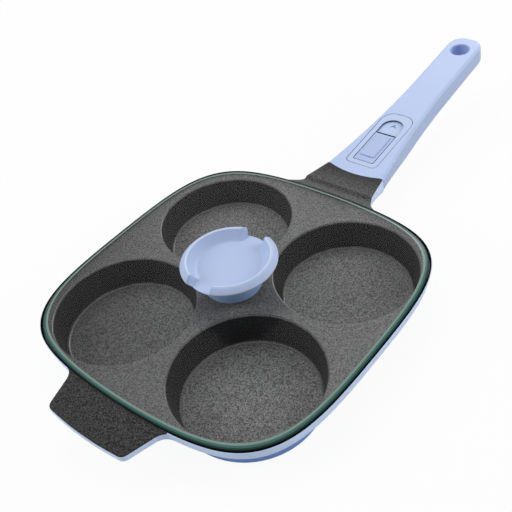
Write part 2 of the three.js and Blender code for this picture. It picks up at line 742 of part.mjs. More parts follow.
function handleShell() {
  const below = -HANDLE_THICKNESS - CUT_OVERRUN;
  const pocketNear = box(-CUT_OVERRUN, COVER_START + FIT, POCKET_HALF, COVER_TOP, POCKET_TOP);
  const pocket = box(COVER_START, POCKET_END, POCKET_HALF, below, POCKET_TOP);
  const chamberEnd = WEDGE_END + WEDGE_TAIL / 2 + SLIDE_TRAVEL + FIT;
  const chamber = box(JAW_START - FIT, chamberEnd, TONGUE_WIDTH / 2 + FIT, POCKET_TOP - CUT_OVERRUN, 0);
  const bezelSeat = slab(bezelPlan(FIT), BEZEL_BOTTOM - FIT, CUT_OVERRUN);
  const coverPlan = roundedPlan(
    COVER_START,
    COVER_END + FIT,
    COVER_WIDTH / 2 + FIT,
    COVER_CORNER,
    COVER_CORNER,
  );
  const coverSeat = slab(coverPlan, below, COVER_TOP + FIT);
  const hookSeat = box(
    COVER_START - COVER_HOOK - FIT,
    COVER_START + COVER_CORNER,
    COVER_HOOK_WIDTH / 2 + FIT,
    COVER_TOP - COVER_THICKNESS / 2 - FIT,
    COVER_TOP + FIT,
  );
  const flare = HANG_HOLE_RADIUS + HANG_HOLE_ROUND;
  const depth = handleDepth(HANG_HOLE_STATION);
  const hang = turned(
    [
      [0, -depth - CUT_OVERRUN],
      [flare, -depth - CUT_OVERRUN],
      [flare, -depth],
      [HANG_HOLE_RADIUS, -depth + HANG_HOLE_ROUND],
      [HANG_HOLE_RADIUS, -HANG_HOLE_ROUND],
      [flare, 0],
      [flare, CUT_OVERRUN],
      [0, CUT_OVERRUN],
    ],
    2 * SCREW_SEGMENTS,
  ).translate(HANG_HOLE_STATION, 0, 0);
  const bossRadius = HANDLE_SCREW_RADIUS + FIT + SCREW_BOSS_WALL;
  const bosses = pairOf(FRAME_SCREW_SPREAD).map((across) => {
    const boss = plug(bossRadius, FRAME_TOP + FIT, POCKET_TOP + SUPPORT_OVERLAP, SCREW_SEGMENTS);
    return solid(boss.translate(FRAME_SCREW_STATION, across, 0));
  });
  const frameHoles = pairOf(FRAME_SCREW_SPREAD).map((across) =>
    solid(handleScrewHole(FRAME_SCREW_STATION, across, below, FRAME_TOP + HANDLE_SCREW_GRIP + FIT)),
  );
  const coverHoles = pairOf(COVER_SCREW_SPREAD).map((across) =>
    solid(handleScrewHole(COVER_SCREW_STATION, across, below, COVER_TOP + HANDLE_SCREW_GRIP + FIT)),
  );
  const hollow = cut(
    solid(handleBlank()),
    solid(pocketNear),
    solid(pocket),
    solid(chamber),
    solid(bezelSeat),
    solid(coverSeat),
    solid(hookSeat),
    solid(hang),
  );
  return geometryOf(cut(join(hollow, ...bosses), ...frameHoles, ...coverHoles));
}

function handleCover() {
  const plan = roundedPlan(
    COVER_START + FIT,
    COVER_END,
    COVER_WIDTH / 2,
    COVER_CORNER - FIT,
    COVER_CORNER - FIT,
  );
  const plate = slab(plan, -HANDLE_THICKNESS, COVER_TOP);
  const hook = box(
    COVER_START - COVER_HOOK,
    COVER_START + COVER_CORNER,
    COVER_HOOK_WIDTH / 2,
    COVER_TOP - COVER_THICKNESS / 2,
    COVER_TOP,
  );
  const holes = pairOf(COVER_SCREW_SPREAD).map((across) => {
    const headSeat = plug(
      HANDLE_SCREW_HEAD_RADIUS + FIT,
      -HANDLE_THICKNESS - CUT_OVERRUN,
      -HANDLE_THICKNESS + HANDLE_SCREW_HEAD + FIT,
      SCREW_SEGMENTS,
    ).translate(COVER_SCREW_STATION, across, 0);
    const shank = handleScrewHole(
      COVER_SCREW_STATION,
      across,
      -HANDLE_THICKNESS - CUT_OVERRUN,
      COVER_TOP + CUT_OVERRUN,
    );
    return join(solid(headSeat), solid(shank));
  });
  const frameHeadRoom = pairOf(FRAME_SCREW_SPREAD).map((across) => {
    const room = plug(
      HANDLE_SCREW_HEAD_RADIUS + FIT,
      COVER_TOP - HANDLE_SCREW_HEAD - FIT,
      COVER_TOP + CUT_OVERRUN,
      SCREW_SEGMENTS,
    );
    return solid(room.translate(FRAME_SCREW_STATION, across, 0));
  });
  return geometryOf(cut(join(solid(plate), solid(hook)), ...holes, ...frameHeadRoom));
}

function coverScrew(across) {
  const bottom = -HANDLE_THICKNESS;
  const screw = headedScrew(
    HANDLE_SCREW_HEAD_RADIUS,
    bottom,
    bottom + HANDLE_SCREW_HEAD,
    HANDLE_SCREW_RADIUS,
    COVER_TOP + HANDLE_SCREW_GRIP,
  );
  return screw.translate(COVER_SCREW_STATION, across, 0);
}

// A folded steel channel that the tongue slides into.
function clampFrame() {
  const wallEnd = FRAME_START + FRAME_WALL_LENGTH;
  const outer = box(FRAME_START, wallEnd, FRAME_HALF, FRAME_BOTTOM, FRAME_WALL_TOP);
  const inner = box(
    FRAME_START - CUT_OVERRUN,
    wallEnd + CUT_OVERRUN,
    FRAME_HALF - FRAME_GAUGE,
    FRAME_TOP,
    FRAME_WALL_TOP + CUT_OVERRUN,
  );
  const floor = box(FRAME_START, FRAME_END, FRAME_HALF, FRAME_BOTTOM, FRAME_TOP);
  const holes = pairOf(FRAME_SCREW_SPREAD).map((across) =>
    solid(handleScrewHole(FRAME_SCREW_STATION, across, FRAME_BOTTOM - CUT_OVERRUN, FRAME_TOP + CUT_OVERRUN)),
  );
  return geometryOf(cut(join(cut(solid(outer), solid(inner)), solid(floor)), ...holes));
}

function frameScrew(across) {
  const screw = headedScrew(
    HANDLE_SCREW_HEAD_RADIUS,
    COVER_TOP - HANDLE_SCREW_HEAD,
    COVER_TOP,
    HANDLE_SCREW_RADIUS,
    FRAME_TOP + HANDLE_SCREW_GRIP,
  );
  return screw.translate(FRAME_SCREW_STATION, across, 0);
}

// The inlay with its sunk track, round at the far end, and the slot for the slider's stem.
function bezelPlan(grow) {
  return roundedPlan(
    BEZEL_START - grow,
    BEZEL_START + BEZEL_LENGTH + grow,
    BEZEL_WIDTH / 2 + grow,
    BEZEL_NEAR_CORNER + grow,
    BEZEL_FAR_CORNER + grow,
  );
}

function trackBezel() {
  const trackPlan = roundedPlan(TRACK_START, TRACK_END, TRACK_WIDTH / 2, TRACK_CORNER, TRACK_WIDTH / 2);
  const track = slab(trackPlan, TRACK_FLOOR, CUT_OVERRUN);
  const slotStart = STEM_CENTRE - STEM_LENGTH / 2 - FIT;
  const slotEnd = STEM_CENTRE + STEM_LENGTH / 2 + SLIDE_TRAVEL + FIT;
  const slot = box(slotStart, slotEnd, STEM_WIDTH / 2 + FIT, BEZEL_BOTTOM - CUT_OVERRUN, CUT_OVERRUN);
  const markEnd = TRACK_END - MARK_FROM_END;
  const arrow = new THREE.Shape([
    new THREE.Vector2(markEnd - MARK_LENGTH, -MARK_WIDTH / 2),
    new THREE.Vector2(markEnd, 0),
    new THREE.Vector2(markEnd - MARK_LENGTH, MARK_WIDTH / 2),
  ]);
  const mark = slab(arrow, TRACK_FLOOR - MARK_DEPTH, CUT_OVERRUN);
  const plate = slab(bezelPlan(0), BEZEL_BOTTOM, 0);
  return geometryOf(cut(solid(plate), solid(track), solid(slot), solid(mark)));
}

// The thumb slider: a plate in the track, a raised pad and a stem down through the slot.
function lockSlider() {
  const half = TRACK_WIDTH / 2 - FIT;
  const end = SLIDER_START + SLIDER_LENGTH;
  const plate = slab(roundedPlan(SLIDER_START, end, half, SLIDER_CORNER, SLIDER_CORNER), SLIDER_BOTTOM, 0);
  const padPlan = roundedPlan(
    SLIDER_START + PAD_LIP + PAD_EDGE,
    end - PAD_INSET - PAD_EDGE,
    half - PAD_INSET - PAD_EDGE,
    SLIDER_CORNER,
    SLIDER_CORNER,
  );
  const pad = new THREE.ExtrudeGeometry(padPlan, {
    depth: PAD_RISE - PAD_EDGE + SUPPORT_OVERLAP,
    bevelThickness: PAD_EDGE,
    bevelSize: PAD_EDGE,
    bevelSegments: PAD_EDGE_STEPS,
    curveSegments: ROUND_STEPS,
  }).translate(0, 0, -SUPPORT_OVERLAP);
  const stem = box(
    STEM_CENTRE - STEM_LENGTH / 2,
    STEM_CENTRE + STEM_LENGTH / 2,
    STEM_WIDTH / 2,
    WEDGE_TOP + FIT,
    SLIDER_BOTTOM + SUPPORT_OVERLAP,
  );
  const hole = plug(
    SLIDER_SCREW_RADIUS + FIT,
    WEDGE_TOP - CUT_OVERRUN,
    WEDGE_TOP + FIT + SLIDER_SCREW_GRIP + FIT,
    SCREW_SEGMENTS,
  ).translate(STEM_CENTRE, 0, 0);
  return geometryOf(cut(join(solid(plate), solid(pad), solid(stem)), solid(hole)));
}

function wedgeUnderside(station) {
  return WEDGE_TOP - WEDGE_TIP - WEDGE_SLOPE * (station - JAW_START);
}

// The wedge under the slider, with a tail that the spring pushes on.
function wedgeFoot() {
  const body = acrossHandle(
    [
      [JAW_START, WEDGE_TOP],
      [JAW_START, wedgeUnderside(JAW_START)],
      [WEDGE_END, wedgeUnderside(WEDGE_END)],
      [WEDGE_END, WEDGE_TOP],
    ],
    WEDGE_WIDTH / 2,
  );
  const tail = box(
    WEDGE_END - WEDGE_TAIL / 2,
    WEDGE_END + WEDGE_TAIL / 2,
    WEDGE_WIDTH / 2,
    SPRING_LEVEL - SPRING_RADIUS,
    WEDGE_TOP,
  );
  const headSeat = plug(
    SLIDER_SCREW_HEAD_RADIUS + FIT,
    wedgeUnderside(WEDGE_END) - CUT_OVERRUN,
    wedgeUnderside(STEM_CENTRE) + SLIDER_SCREW_HEAD + FIT,
    SCREW_SEGMENTS,
  ).translate(STEM_CENTRE, 0, 0);
  const shank = plug(
    SLIDER_SCREW_RADIUS + FIT,
    wedgeUnderside(WEDGE_END) - CUT_OVERRUN,
    WEDGE_TOP + CUT_OVERRUN,
    SCREW_SEGMENTS,
  ).translate(STEM_CENTRE, 0, 0);
  return geometryOf(cut(join(solid(body), solid(tail)), solid(headSeat), solid(shank)));
}

function sliderScrew() {
  const headTop = wedgeUnderside(STEM_CENTRE) + SLIDER_SCREW_HEAD;
  const screw = headedScrew(
    SLIDER_SCREW_HEAD_RADIUS,
    headTop - SLIDER_SCREW_HEAD + FIT,
    headTop,
    SLIDER_SCREW_RADIUS,
    WEDGE_TOP + FIT + SLIDER_SCREW_GRIP,
  );
  return screw.translate(STEM_CENTRE, 0, 0);
}

function clampJaw() {
  const end = JAW_START + JAW_LENGTH;
  return acrossHandle(
    [
      [JAW_START, JAW_BOTTOM],
      [end, JAW_BOTTOM],
      [end, wedgeUnderside(end) - FIT],
      [JAW_START, JAW_NEAR_TOP],
    ],
    TONGUE_WIDTH / 2,
  );
}

function jawPad() {
  return box(
    JAW_START + JAW_PAD_INSET,
    JAW_START + JAW_LENGTH - JAW_PAD_INSET,
    TONGUE_WIDTH / 2 - JAW_PAD_INSET,
    PAD_BOTTOM,
    JAW_BOTTOM - FIT,
  );
}

// A compression spring behind the wedge, one wire from end to end.
class Helix extends THREE.Curve {
  constructor(length) {
    super();
    this.length = length;
  }

  getPoint(t, target = new THREE.Vector3()) {
    const angle = 2 * Math.PI * SPRING_TURNS * t;
    return target.set(this.length * t, SPRING_RADIUS * Math.cos(angle), SPRING_RADIUS * Math.sin(angle));
  }
}

function slideSpring() {
  const length = SPRING_ROOM - 2 * SPRING_WIRE_RADIUS - FIT;
  const path = new Helix(length);
  const wire = new THREE.Shape();
  wire.absarc(0, 0, SPRING_WIRE_RADIUS, 0, 2 * Math.PI);
  const coil = new THREE.ExtrudeGeometry(wire, {
    steps: SPRING_TURNS * SPRING_STEPS,
    curveSegments: SPRING_SIDES / 2,
    extrudePath: path,
  });
  const gap = length / SPRING_TURNS - 2 * SPRING_WIRE_RADIUS;
  console.log(`spring: least gap between turns ${gap.toFixed(2)} mm`);
  return coil.translate(SPRING_START + SPRING_WIRE_RADIUS, 0, SPRING_LEVEL);
}

// Colours and finishes
const COATING = { color: 0x3a3a3c, roughness: 0.6, metalness: 0.1 };
const GLASS = { color: 0xcfe3da, roughness: 0.05, metalness: 0, transparent: true, opacity: 0.35 };
const BLUE = { color: 0xb5c6ea, roughness: 0.45, metalness: 0 };
const STEEL = { color: 0xb9bcc0, roughness: 0.3, metalness: 1 };
const BRASS = { color: 0xb08d45, roughness: 0.35, metalness: 1 };
const SILICONE = { color: 0x8d93a3, roughness: 0.8, metalness: 0 };

const assembly = new THREE.Group();
const handle = new THREE.Group();
handle.applyMatrix4(handlePlace);
assembly.add(handle);

function place(group, name, geometry, finish) {
  const mesh = new THREE.Mesh(geometry, new THREE.MeshStandardMaterial(finish));
  mesh.name = name;
  group.add(mesh);
}

place(assembly, 'pan_body', panBody(), COATING);
place(assembly, 'glass_lid', glassLid(), GLASS);
place(assembly, 'lid_knob', lidKnob(), BLUE);
place(
  assembly,
  'knob_gasket',
  sleeve(GLASS_HOLE_RADIUS, GASKET_RADIUS, GLASS_TOP + FIT, KNOB_BOTTOM - FIT, RING_SEGMENTS),
  SILICONE,
);
place(
  assembly,
  'knob_under_gasket',
  sleeve(GLASS_HOLE_RADIUS, UNDER_GASKET_RADIUS, UNDER_GASKET_BOTTOM, GLASS_BOTTOM - FIT, RING_SEGMENTS),
  SILICONE,
);
place(
  assembly,
  'knob_washer',
  sleeve(KNOB_SCREW_RADIUS + FIT, KNOB_WASHER_RADIUS, WASHER_BOTTOM, UNDER_GASKET_BOTTOM - FIT, RING_SEGMENTS),
  STEEL,
);
place(
  assembly,
  'knob_insert',
  sleeve(
    KNOB_SCREW_RADIUS + FIT,
    INSERT_RADIUS,
    KNOB_BOTTOM + FIT,
    KNOB_BOTTOM + FIT + INSERT_LENGTH,
    SCREW_SEGMENTS,
  ),
  BRASS,
);
place(
  assembly,
  'knob_screw',
  headedScrew(
    KNOB_SCREW_HEAD_RADIUS,
    SCREW_HEAD_BOTTOM,
    WASHER_BOTTOM - FIT,
    KNOB_SCREW_RADIUS,
    KNOB_BOTTOM + KNOB_SCREW_GRIP,
  ),
  STEEL,
);

place(handle, 'handle_shell', handleShell(), BLUE);
place(handle, 'handle_cover', handleCover(), BLUE);
pairOf(COVER_SCREW_SPREAD).forEach((across, i) => {
  place(handle, `cover_screw_${i + 1}`, coverScrew(across), STEEL);
});
place(handle, 'clamp_frame', clampFrame(), STEEL);
pairOf(FRAME_SCREW_SPREAD).forEach((across, i) => {
  place(handle, `frame_screw_${i + 1}`, frameScrew(across), STEEL);
});
place(handle, 'track_bezel', trackBezel(), BLUE);
place(handle, 'lock_slider', lockSlider(), BLUE);
place(handle, 'wedge_foot', wedgeFoot(), STEEL);
place(handle, 'slider_screw', sliderScrew(), STEEL);
place(handle, 'clamp_jaw', clampJaw(), STEEL);
place(handle, 'jaw_pad', jawPad(), SILICONE);
place(handle, 'slide_spring', slideSpring(), STEEL);

// The origin lies under the middle of the whole length.
assembly.updateMatrixWorld(true);
const extent = new THREE.Box3().setFromObject(assembly, true);
assembly.position.x = -(extent.min.x + extent.max.x) / 2;

export default assembly;
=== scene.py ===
import math

import bmesh
import bpy
import numpy as np
from mathutils import Matrix, Vector
from mathutils.geometry import delaunay_2d_cdt


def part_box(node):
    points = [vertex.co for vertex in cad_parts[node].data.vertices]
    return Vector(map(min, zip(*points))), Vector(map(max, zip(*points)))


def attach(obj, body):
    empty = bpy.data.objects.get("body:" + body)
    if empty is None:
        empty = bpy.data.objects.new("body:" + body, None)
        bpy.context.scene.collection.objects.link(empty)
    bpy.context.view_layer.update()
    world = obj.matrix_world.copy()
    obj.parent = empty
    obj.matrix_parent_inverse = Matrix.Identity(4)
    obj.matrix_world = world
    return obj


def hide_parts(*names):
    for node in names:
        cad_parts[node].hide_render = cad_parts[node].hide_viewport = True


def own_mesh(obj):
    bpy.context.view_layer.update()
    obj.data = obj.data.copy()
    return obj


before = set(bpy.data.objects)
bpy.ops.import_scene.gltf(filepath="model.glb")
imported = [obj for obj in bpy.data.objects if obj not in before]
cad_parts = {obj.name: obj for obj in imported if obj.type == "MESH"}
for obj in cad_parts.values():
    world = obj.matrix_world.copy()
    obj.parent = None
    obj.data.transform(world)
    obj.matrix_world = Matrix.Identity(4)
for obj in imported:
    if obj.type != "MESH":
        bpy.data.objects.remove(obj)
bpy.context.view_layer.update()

# Sizes in millimetres, as in the solids
MM = 0.001
FIT = 0.25
DECK = 23.1
HALF_PAN = 106.7
RIM_SQUARE = 3.95
BOW_ALONG = 2.2
BOW_REACH = 70
RIM_TOP = DECK + 4
RIM_ROUND = 0.6
SEAT = 105.5
LEDGE = (102.5, 103.3, DECK + 0.9)
DECK_UNDER = DECK - 2.8
SKIRT_FOOT = 105.6
SKIRT_ROUND = 1.2
SKIRT_BOTTOM = DECK - 4
SKIRT_INNER = 101.6
CUP = 51
CUP_RIM = 46.8
CUP_FLOOR_RADIUS = 43
CUP_FLOOR = 2.6
CUP_WALL = 2
BASE_ROUND = 6
DIMPLE = 11
DIMPLE_FLOOR = 19.8
BOSS = 13.4
BOSS_BOTTOM = 17.4
TAB_BOW = 1.5
TAB_ROOT = 78
TAB_TIP = 62
TAB_CORNER = 4
TAB_TOP = RIM_TOP - 0.6
TAB_THICK = 6
TAB_ROUND = 1.6
NECK_REACH = 29.3
NECK_ROOT = 61
NECK_FLARE = 8
NECK_VALLEY = 0.28
GLASS_LOW = 24.25
GLASS_HIGH = 28.25
GLASS_SQUARE = 3.88
GLASS_HOLE = 3.4
BEVEL_WIDTH = 3
BEVEL_DROP = 0.9
KNOB_BOTTOM = 29.55
KNOB_TOP = 52.55
KNOB_RADIUS = 31.2
KNOB_FLOOR = 45.35
KNOB_STEM = 19
KNOB_STEM_TOP = 38.35
KNOB_NOTCH = 8.5
NOTCH_REACH = 28.3
PITCH = math.radians(6.84)
HANDLE_LIFT = 3.7
HANDLE_LENGTH = 182.6
ROOT_WIDTH = 49.6
GRIP_WIDTH = 28.5
TAPER = 124
THICK = 17.4
TIP_THICK = 16.5
TIP_TAPER = 70
TIP_REACH = 14
TIP_SQUARE = 2.4
TOP_ROUND = 3
BOTTOM_ROUND = 4
ROOT_ROUND = 10
ROOT_BLEND = 54
HOLE = 7.2
HOLE_STATION = 164.4
BEZEL = (10, 72, 13.3)
TRACK = (14.5, 64.5, 8.7)
TRACK_DEPTH = 1.5
SLIDER_END = 48.25
COVER = (6, 82, 11.5)
COVER_SCREW = (76, 6)
SPRING = (41.6, 64.9, 2.2, 0.35, -8.3)
SPRING_TURNS = 9

# Sizes in millimetres that differ a little from the solids', for the look
BOW_ACROSS = 0.58
LIP_ROUND = 1.1
FLOOR_ROUND = 1.5
TAB_REACH = 25.38
TAB_FLARE = 6
NECK_DIP = 1.9
NECK_STEP_END = 0.37
NECK_TIP = 47.8
HALF_LID = 105.3
BOW = 4.5
NECK_TOP_ROUND = 1.2
HOLE_ROUND = 1.1

# Facets round a cup, a small round form and the lid's hole
CUP_FACETS = 160
ROUND_FACETS = 96
HOLE_FACETS = 48

low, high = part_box("glass_lid")
PAN_X = (low.x + high.x) / 2 / MM
to_pan = Matrix.Scale(MM, 4) @ Matrix.Translation((PAN_X, 0, 0))
to_handle = (
    to_pan
    @ Matrix.Translation((HALF_PAN + NECK_REACH, 0, DECK + HANDLE_LIFT))
    @ Matrix.Rotation(-PITCH, 4, "Y")
)


# Camera, solved on the photograph's cup and rim outlines
def aim_camera():
    azimuth, elevation, roll = math.radians(-44.162), math.radians(41.4225), -0.1863
    distance, aim = 511.604, Vector((31.903, 8.306, DECK))
    back = Vector((
        math.sin(azimuth) * math.cos(elevation),
        -math.cos(azimuth) * math.cos(elevation),
        math.sin(elevation),
    ))
    right = Vector((math.cos(azimuth), math.sin(azimuth), 0))
    up = back.cross(right)
    across = math.cos(roll) * right + math.sin(roll) * up
    upright = -math.sin(roll) * right + math.cos(roll) * up
    data = bpy.data.cameras.new("camera")
    data.sensor_width = 36
    data.lens = 53.594
    data.clip_start, data.clip_end = 0.01, 20
    camera = bpy.data.objects.new("camera", data)
    place = Matrix((across, upright, back)).transposed().to_4x4()
    place.translation = to_pan @ (aim + back * distance)
    camera.matrix_world = place
    bpy.context.scene.collection.objects.link(camera)
    bpy.context.scene.camera = camera


aim_camera()


# Node helpers
def material(name):
    made = bpy.data.materials.new(name)
    made.use_nodes = True
    return made, made.node_tree, made.node_tree.nodes["Principled BSDF"]


def add(tree, kind, settings=None, **inputs):
    made = tree.nodes.new(kind)
    for key, value in (settings or {}).items():
        setattr(made, key, value)
    for key, value in inputs.items():
        socket = made.inputs[key.replace("_", " ")]
        if isinstance(value, bpy.types.NodeSocket):
            tree.links.new(value, socket)
        else:
            socket.default_value = value
    return made


def place_of(tree):
    return add(tree, "ShaderNodeTexCoord").outputs["Object"]


def noise(tree, scale, detail=3.0, rough=0.6):
    made = add(
        tree,
        "ShaderNodeTexNoise",
        Vector=place_of(tree),
        Scale=scale,
        Detail=detail,
        Roughness=rough,
    )
    return made.outputs["Fac"]


def ramp(tree, factor, *stops):
    made = add(tree, "ShaderNodeValToRGB", Fac=factor)
    points = made.color_ramp.elements
    while len(points) < len(stops):
        points.new(0.5)
    for point, (place, value) in zip(points, stops):
        point.position = place
        point.color = (*value, 1) if isinstance(value, tuple) else (value, value, value, 1)
    return made.outputs["Color"]


def blend(tree, factor, first, second, mode="MIX"):
    made = tree.nodes.new("ShaderNodeMix")
    made.data_type = "RGBA"
    made.blend_type = mode
    for number, value in ((0, factor), (6, first), (7, second)):
        if isinstance(value, bpy.types.NodeSocket):
            tree.links.new(value, made.inputs[number])
        else:
            made.inputs[number].default_value = (*value, 1) if isinstance(value, tuple) else value
    return made.outputs[2]


def mix_out(tree, factor, first, second, output):
    mixer = add(tree, "ShaderNodeMixShader", Fac=factor)
    tree.links.new(first.outputs[0], mixer.inputs[1])
    tree.links.new(second.outputs[0], mixer.inputs[2])
    tree.links.new(mixer.outputs[0], tree.nodes[output].inputs["Surface"])


def mottled(tree, shader, factor, low_stop, high_stop, colour, other):
    share = ramp(tree, factor, (low_stop, 0.0), (high_stop, 1.0))
    tree.links.new(blend(tree, share, colour, other), shader.inputs["Base Color"])


def roughened(tree, shader, factor, *stops):
    tree.links.new(ramp(tree, factor, *stops), shader.inputs["Roughness"])


def bump(tree, shader, height, strength, distance):
    made = add(tree, "ShaderNodeBump", Height=height, Strength=strength, Distance=distance)
    tree.links.new(made.outputs["Normal"], shader.inputs["Normal"])


# Finishes: a speckled coat can carry painted shade that darkens it towards the pan's left side, and
# a painted shadow that darkens it towards the handle
def speckled(name, dark, light, fleck, rough, gloss, scale, left_shade=1.0, handle_shadow=1.0):
    made, tree, shader = material(name)
    shader.inputs["Specular IOR Level"].default_value = gloss
    grain = noise(tree, scale, 2, 0.6)
    cloud = noise(tree, 14, 2, 0.5)
    cells = add(
        tree, "ShaderNodeTexVoronoi", Vector=place_of(tree), Scale=scale, Randomness=1.0
    ).outputs["Distance"]
    ground = ramp(tree, grain, (0.38, dark), (0.62, light))
    flecks = ramp(tree, cells, (0.12, 1.0), (0.32, 0.0))
    colour = blend(tree, flecks, ground, fleck)
    shade = ramp(tree, cloud, (0.3, 0.9), (0.7, 1.0))
    colour = blend(tree, 1.0, colour, shade, "MULTIPLY")
    # Painted shade: the coat darker towards the pan's left side
    if left_shade < 1:
        axes = add(tree, "ShaderNodeSeparateXYZ", Vector=place_of(tree))
        slant = add(tree, "ShaderNodeMath", {"operation": "SUBTRACT"})
        tree.links.new(axes.outputs["X"], slant.inputs[0])
        tree.links.new(axes.outputs["Y"], slant.inputs[1])
        slant = slant.outputs[0]
        span = add(tree, "ShaderNodeMapRange", Value=slant, From_Min=-0.24, From_Max=-0.1)
        tone = ramp(tree, span.outputs[0], (0.0, left_shade), (1.0, 1.0))
        colour = blend(tree, 1.0, colour, tone, "MULTIPLY")
    # Painted shadow of the handle: the coat darker along the neck towards the handle
    if handle_shadow < 1:
        axes = add(tree, "ShaderNodeSeparateXYZ", Vector=place_of(tree))
        along = axes.outputs["X"]
        span = add(tree, "ShaderNodeMapRange", Value=along, From_Min=0.026, From_Max=0.043)
        tone = ramp(tree, span.outputs[0], (0.0, 1.0), (1.0, handle_shadow))
        colour = blend(tree, 1.0, colour, tone, "MULTIPLY")
    tree.links.new(colour, shader.inputs["Base Color"])
    roughened(tree, shader, grain, (0.3, rough - 0.06), (0.7, rough + 0.08))
    bump(tree, shader, grain, 0.35, 0.0003)
    return made


def smooth_coat(name, colour, other, rough, gloss):
    made, tree, shader = material(name)
    shader.inputs["Specular IOR Level"].default_value = gloss
    streak = noise(tree, 90, 3, 0.6)
    mottled(tree, shader, streak, 0.35, 0.65, colour, other)
    roughened(tree, shader, streak, (0.3, rough - 0.04), (0.7, rough + 0.04))
    bump(tree, shader, noise(tree, 900, 2, 0.5), 0.08, 0.0001)
    return made


def moulded(name, colour, other, rough, grain=2200, depth=0.05):
    made, tree, shader = material(name)
    shader.inputs["Specular IOR Level"].default_value = 0.35
    cloud = noise(tree, 26, 2, 0.5)
    mottled(tree, shader, cloud, 0.3, 0.7, colour, other)
    fine = noise(tree, grain, 2, 0.6)
    roughened(tree, shader, fine, (0.3, rough - 0.04), (0.7, rough + 0.06))
    bump(tree, shader, fine, depth, 0.0001)
    return made


def metal(name, colour, rough):
    made, tree, shader = material(name)
    shader.inputs["Metallic"].default_value = 1
    lines = add(
        tree,
        "ShaderNodeTexWave",
        Vector=place_of(tree),
        Scale=900.0,
        Distortion=6.0,
        Detail=2.0,
    ).outputs["Fac"]
    darker = tuple(0.8 * c for c in colour)
    tree.links.new(blend(tree, lines, colour, darker), shader.inputs["Base Color"])
    roughened(tree, shader, lines, (0.2, rough - 0.05), (0.8, rough + 0.08))
    return made


def clear_glass(name):
    made, tree, shader = material(name)
    haze = noise(tree, 30, 2, 0.5)
    mottled(tree, shader, haze, 0.3, 0.7, (0.98, 0.99, 0.99), (0.99, 1.0, 1.0))
    shader.inputs["Transmission Weight"].default_value = 1
    shader.inputs["Roughness"].default_value = 0
    shader.inputs["IOR"].default_value = 1.125
    return made


def glass_edge(name, colour, other, grazing_shade=None):
    made, tree, shader = material(name)
    haze = noise(tree, 60, 2, 0.5)
    tint = blend(tree, ramp(tree, haze, (0.3, 0.0), (0.7, 1.0)), colour, other)
    # Painted shade: the edge's colour darkens towards grazing angles
    if grazing_shade:
        facing = add(tree, "ShaderNodeLayerWeight", Blend=0.5).outputs["Facing"]
        tint = blend(tree, ramp(tree, facing, (0.35, 0.0), (0.75, 1.0)), tint, grazing_shade)
    tree.links.new(tint, shader.inputs["Base Color"])
    shader.inputs["Roughness"].default_value = 0.25
    shader.inputs["Specular IOR Level"].default_value = 0.15
    inside = add(tree, "ShaderNodeNewGeometry").outputs["Backfacing"]
    clear = add(tree, "ShaderNodeBsdfTransparent")
    mix_out(tree, inside, shader, clear, "Material Output")
    return made


# Deck and cup floors carry painted shade towards the left side; the neck coat carries the handle's
# painted shadow
DECK_COAT = speckled("deck_coat", 0.085, 0.21, (0.34, 0.34, 0.34), 0.55, 0.12, 1100, 0.57)
FLOOR_COAT = speckled("floor_coat", 0.07, 0.24, (0.43, 0.43, 0.43), 0.55, 0.12, 980, 0.58)
ARM_COAT = speckled("arm_coat", 0.01, 0.065, (0.17, 0.17, 0.17), 0.6, 0.1, 1150)
NECK_COAT = speckled("neck_coat", 0.02, 0.12, (0.26, 0.26, 0.26), 0.55, 0.2, 1100, handle_shadow=0.25)
# Painted shade: cup walls in a near-black coat, far darker than the deck and floors
SHADED_WALL_COAT = smooth_coat("shaded_wall_coat", (0.026, 0.026, 0.026), (0.03, 0.03, 0.03), 0.5, 0.03)
# Lip and floor-fillet coat: its gloss is the coat's own, its dark base colour is painted shade
LIP_SHADE_COAT = smooth_coat("lip_shade_coat", (0.06, 0.06, 0.06), (0.075, 0.075, 0.075), 0.28, 0.6)
# Rim coat for the seat wall and rim top: partly the rim's own black, partly painted shade of the
# gap beside the glass edge
RIM_BLACK_AND_SHADE = smooth_coat("rim_black_and_gap_shade", (0.001, 0.001, 0.001), (0.002, 0.002, 0.002), 0.5, 0.01)
ENAMEL = moulded("blue_enamel", (0.59, 0.72, 0.96), (0.61, 0.74, 0.98), 0.32, 900, 0.03)
# Painted shade: a darker copy of the blue enamel for the cups' outsides below the rim
SHADED_ENAMEL = moulded("shaded_enamel", (0.145, 0.28, 0.65), (0.155, 0.29, 0.67), 0.36, 900, 0.03)
PLASTIC = moulded("blue_plastic", (0.49, 0.6, 0.87), (0.51, 0.62, 0.89), 0.42)
# Painted shade: a darker copy of the handle plastic for the flanks and underside
SHADED_SIDE = moulded("shaded_side_plastic", (0.41, 0.5, 0.73), (0.43, 0.52, 0.75), 0.45)
# Painted shade: a darker copy of the handle plastic for the hanging hole's wall
HOLE_SHADE = moulded("hole_shade_plastic", (0.37, 0.47, 0.77), (0.39, 0.49, 0.79), 0.5)
INSET = moulded("inset_plastic", (0.22, 0.3, 0.52), (0.24, 0.32, 0.55), 0.5)
INLAY = moulded("inlay_plastic", (0.5, 0.61, 0.86), (0.52, 0.63, 0.88), 0.42)
SLIDER = moulded("slider_plastic", (0.43, 0.54, 0.8), (0.45, 0.56, 0.82), 0.42)
# Painted highlight: a lighter copy of the knob plastic
KNOB_HIGHLIGHT = moulded("knob_highlight", (0.6, 0.7, 0.9), (0.62, 0.72, 0.92), 0.35)
# Painted shade: a deeper, more saturated blue for the knob's underside and stem
KNOB_UNDER_SHADE = moulded("knob_under_shade", (0.36, 0.55, 0.93), (0.38, 0.57, 0.95), 0.4)
KNOB_PLASTIC = moulded("knob_plastic", (0.45, 0.55, 0.79), (0.47, 0.57, 0.81), 0.45)
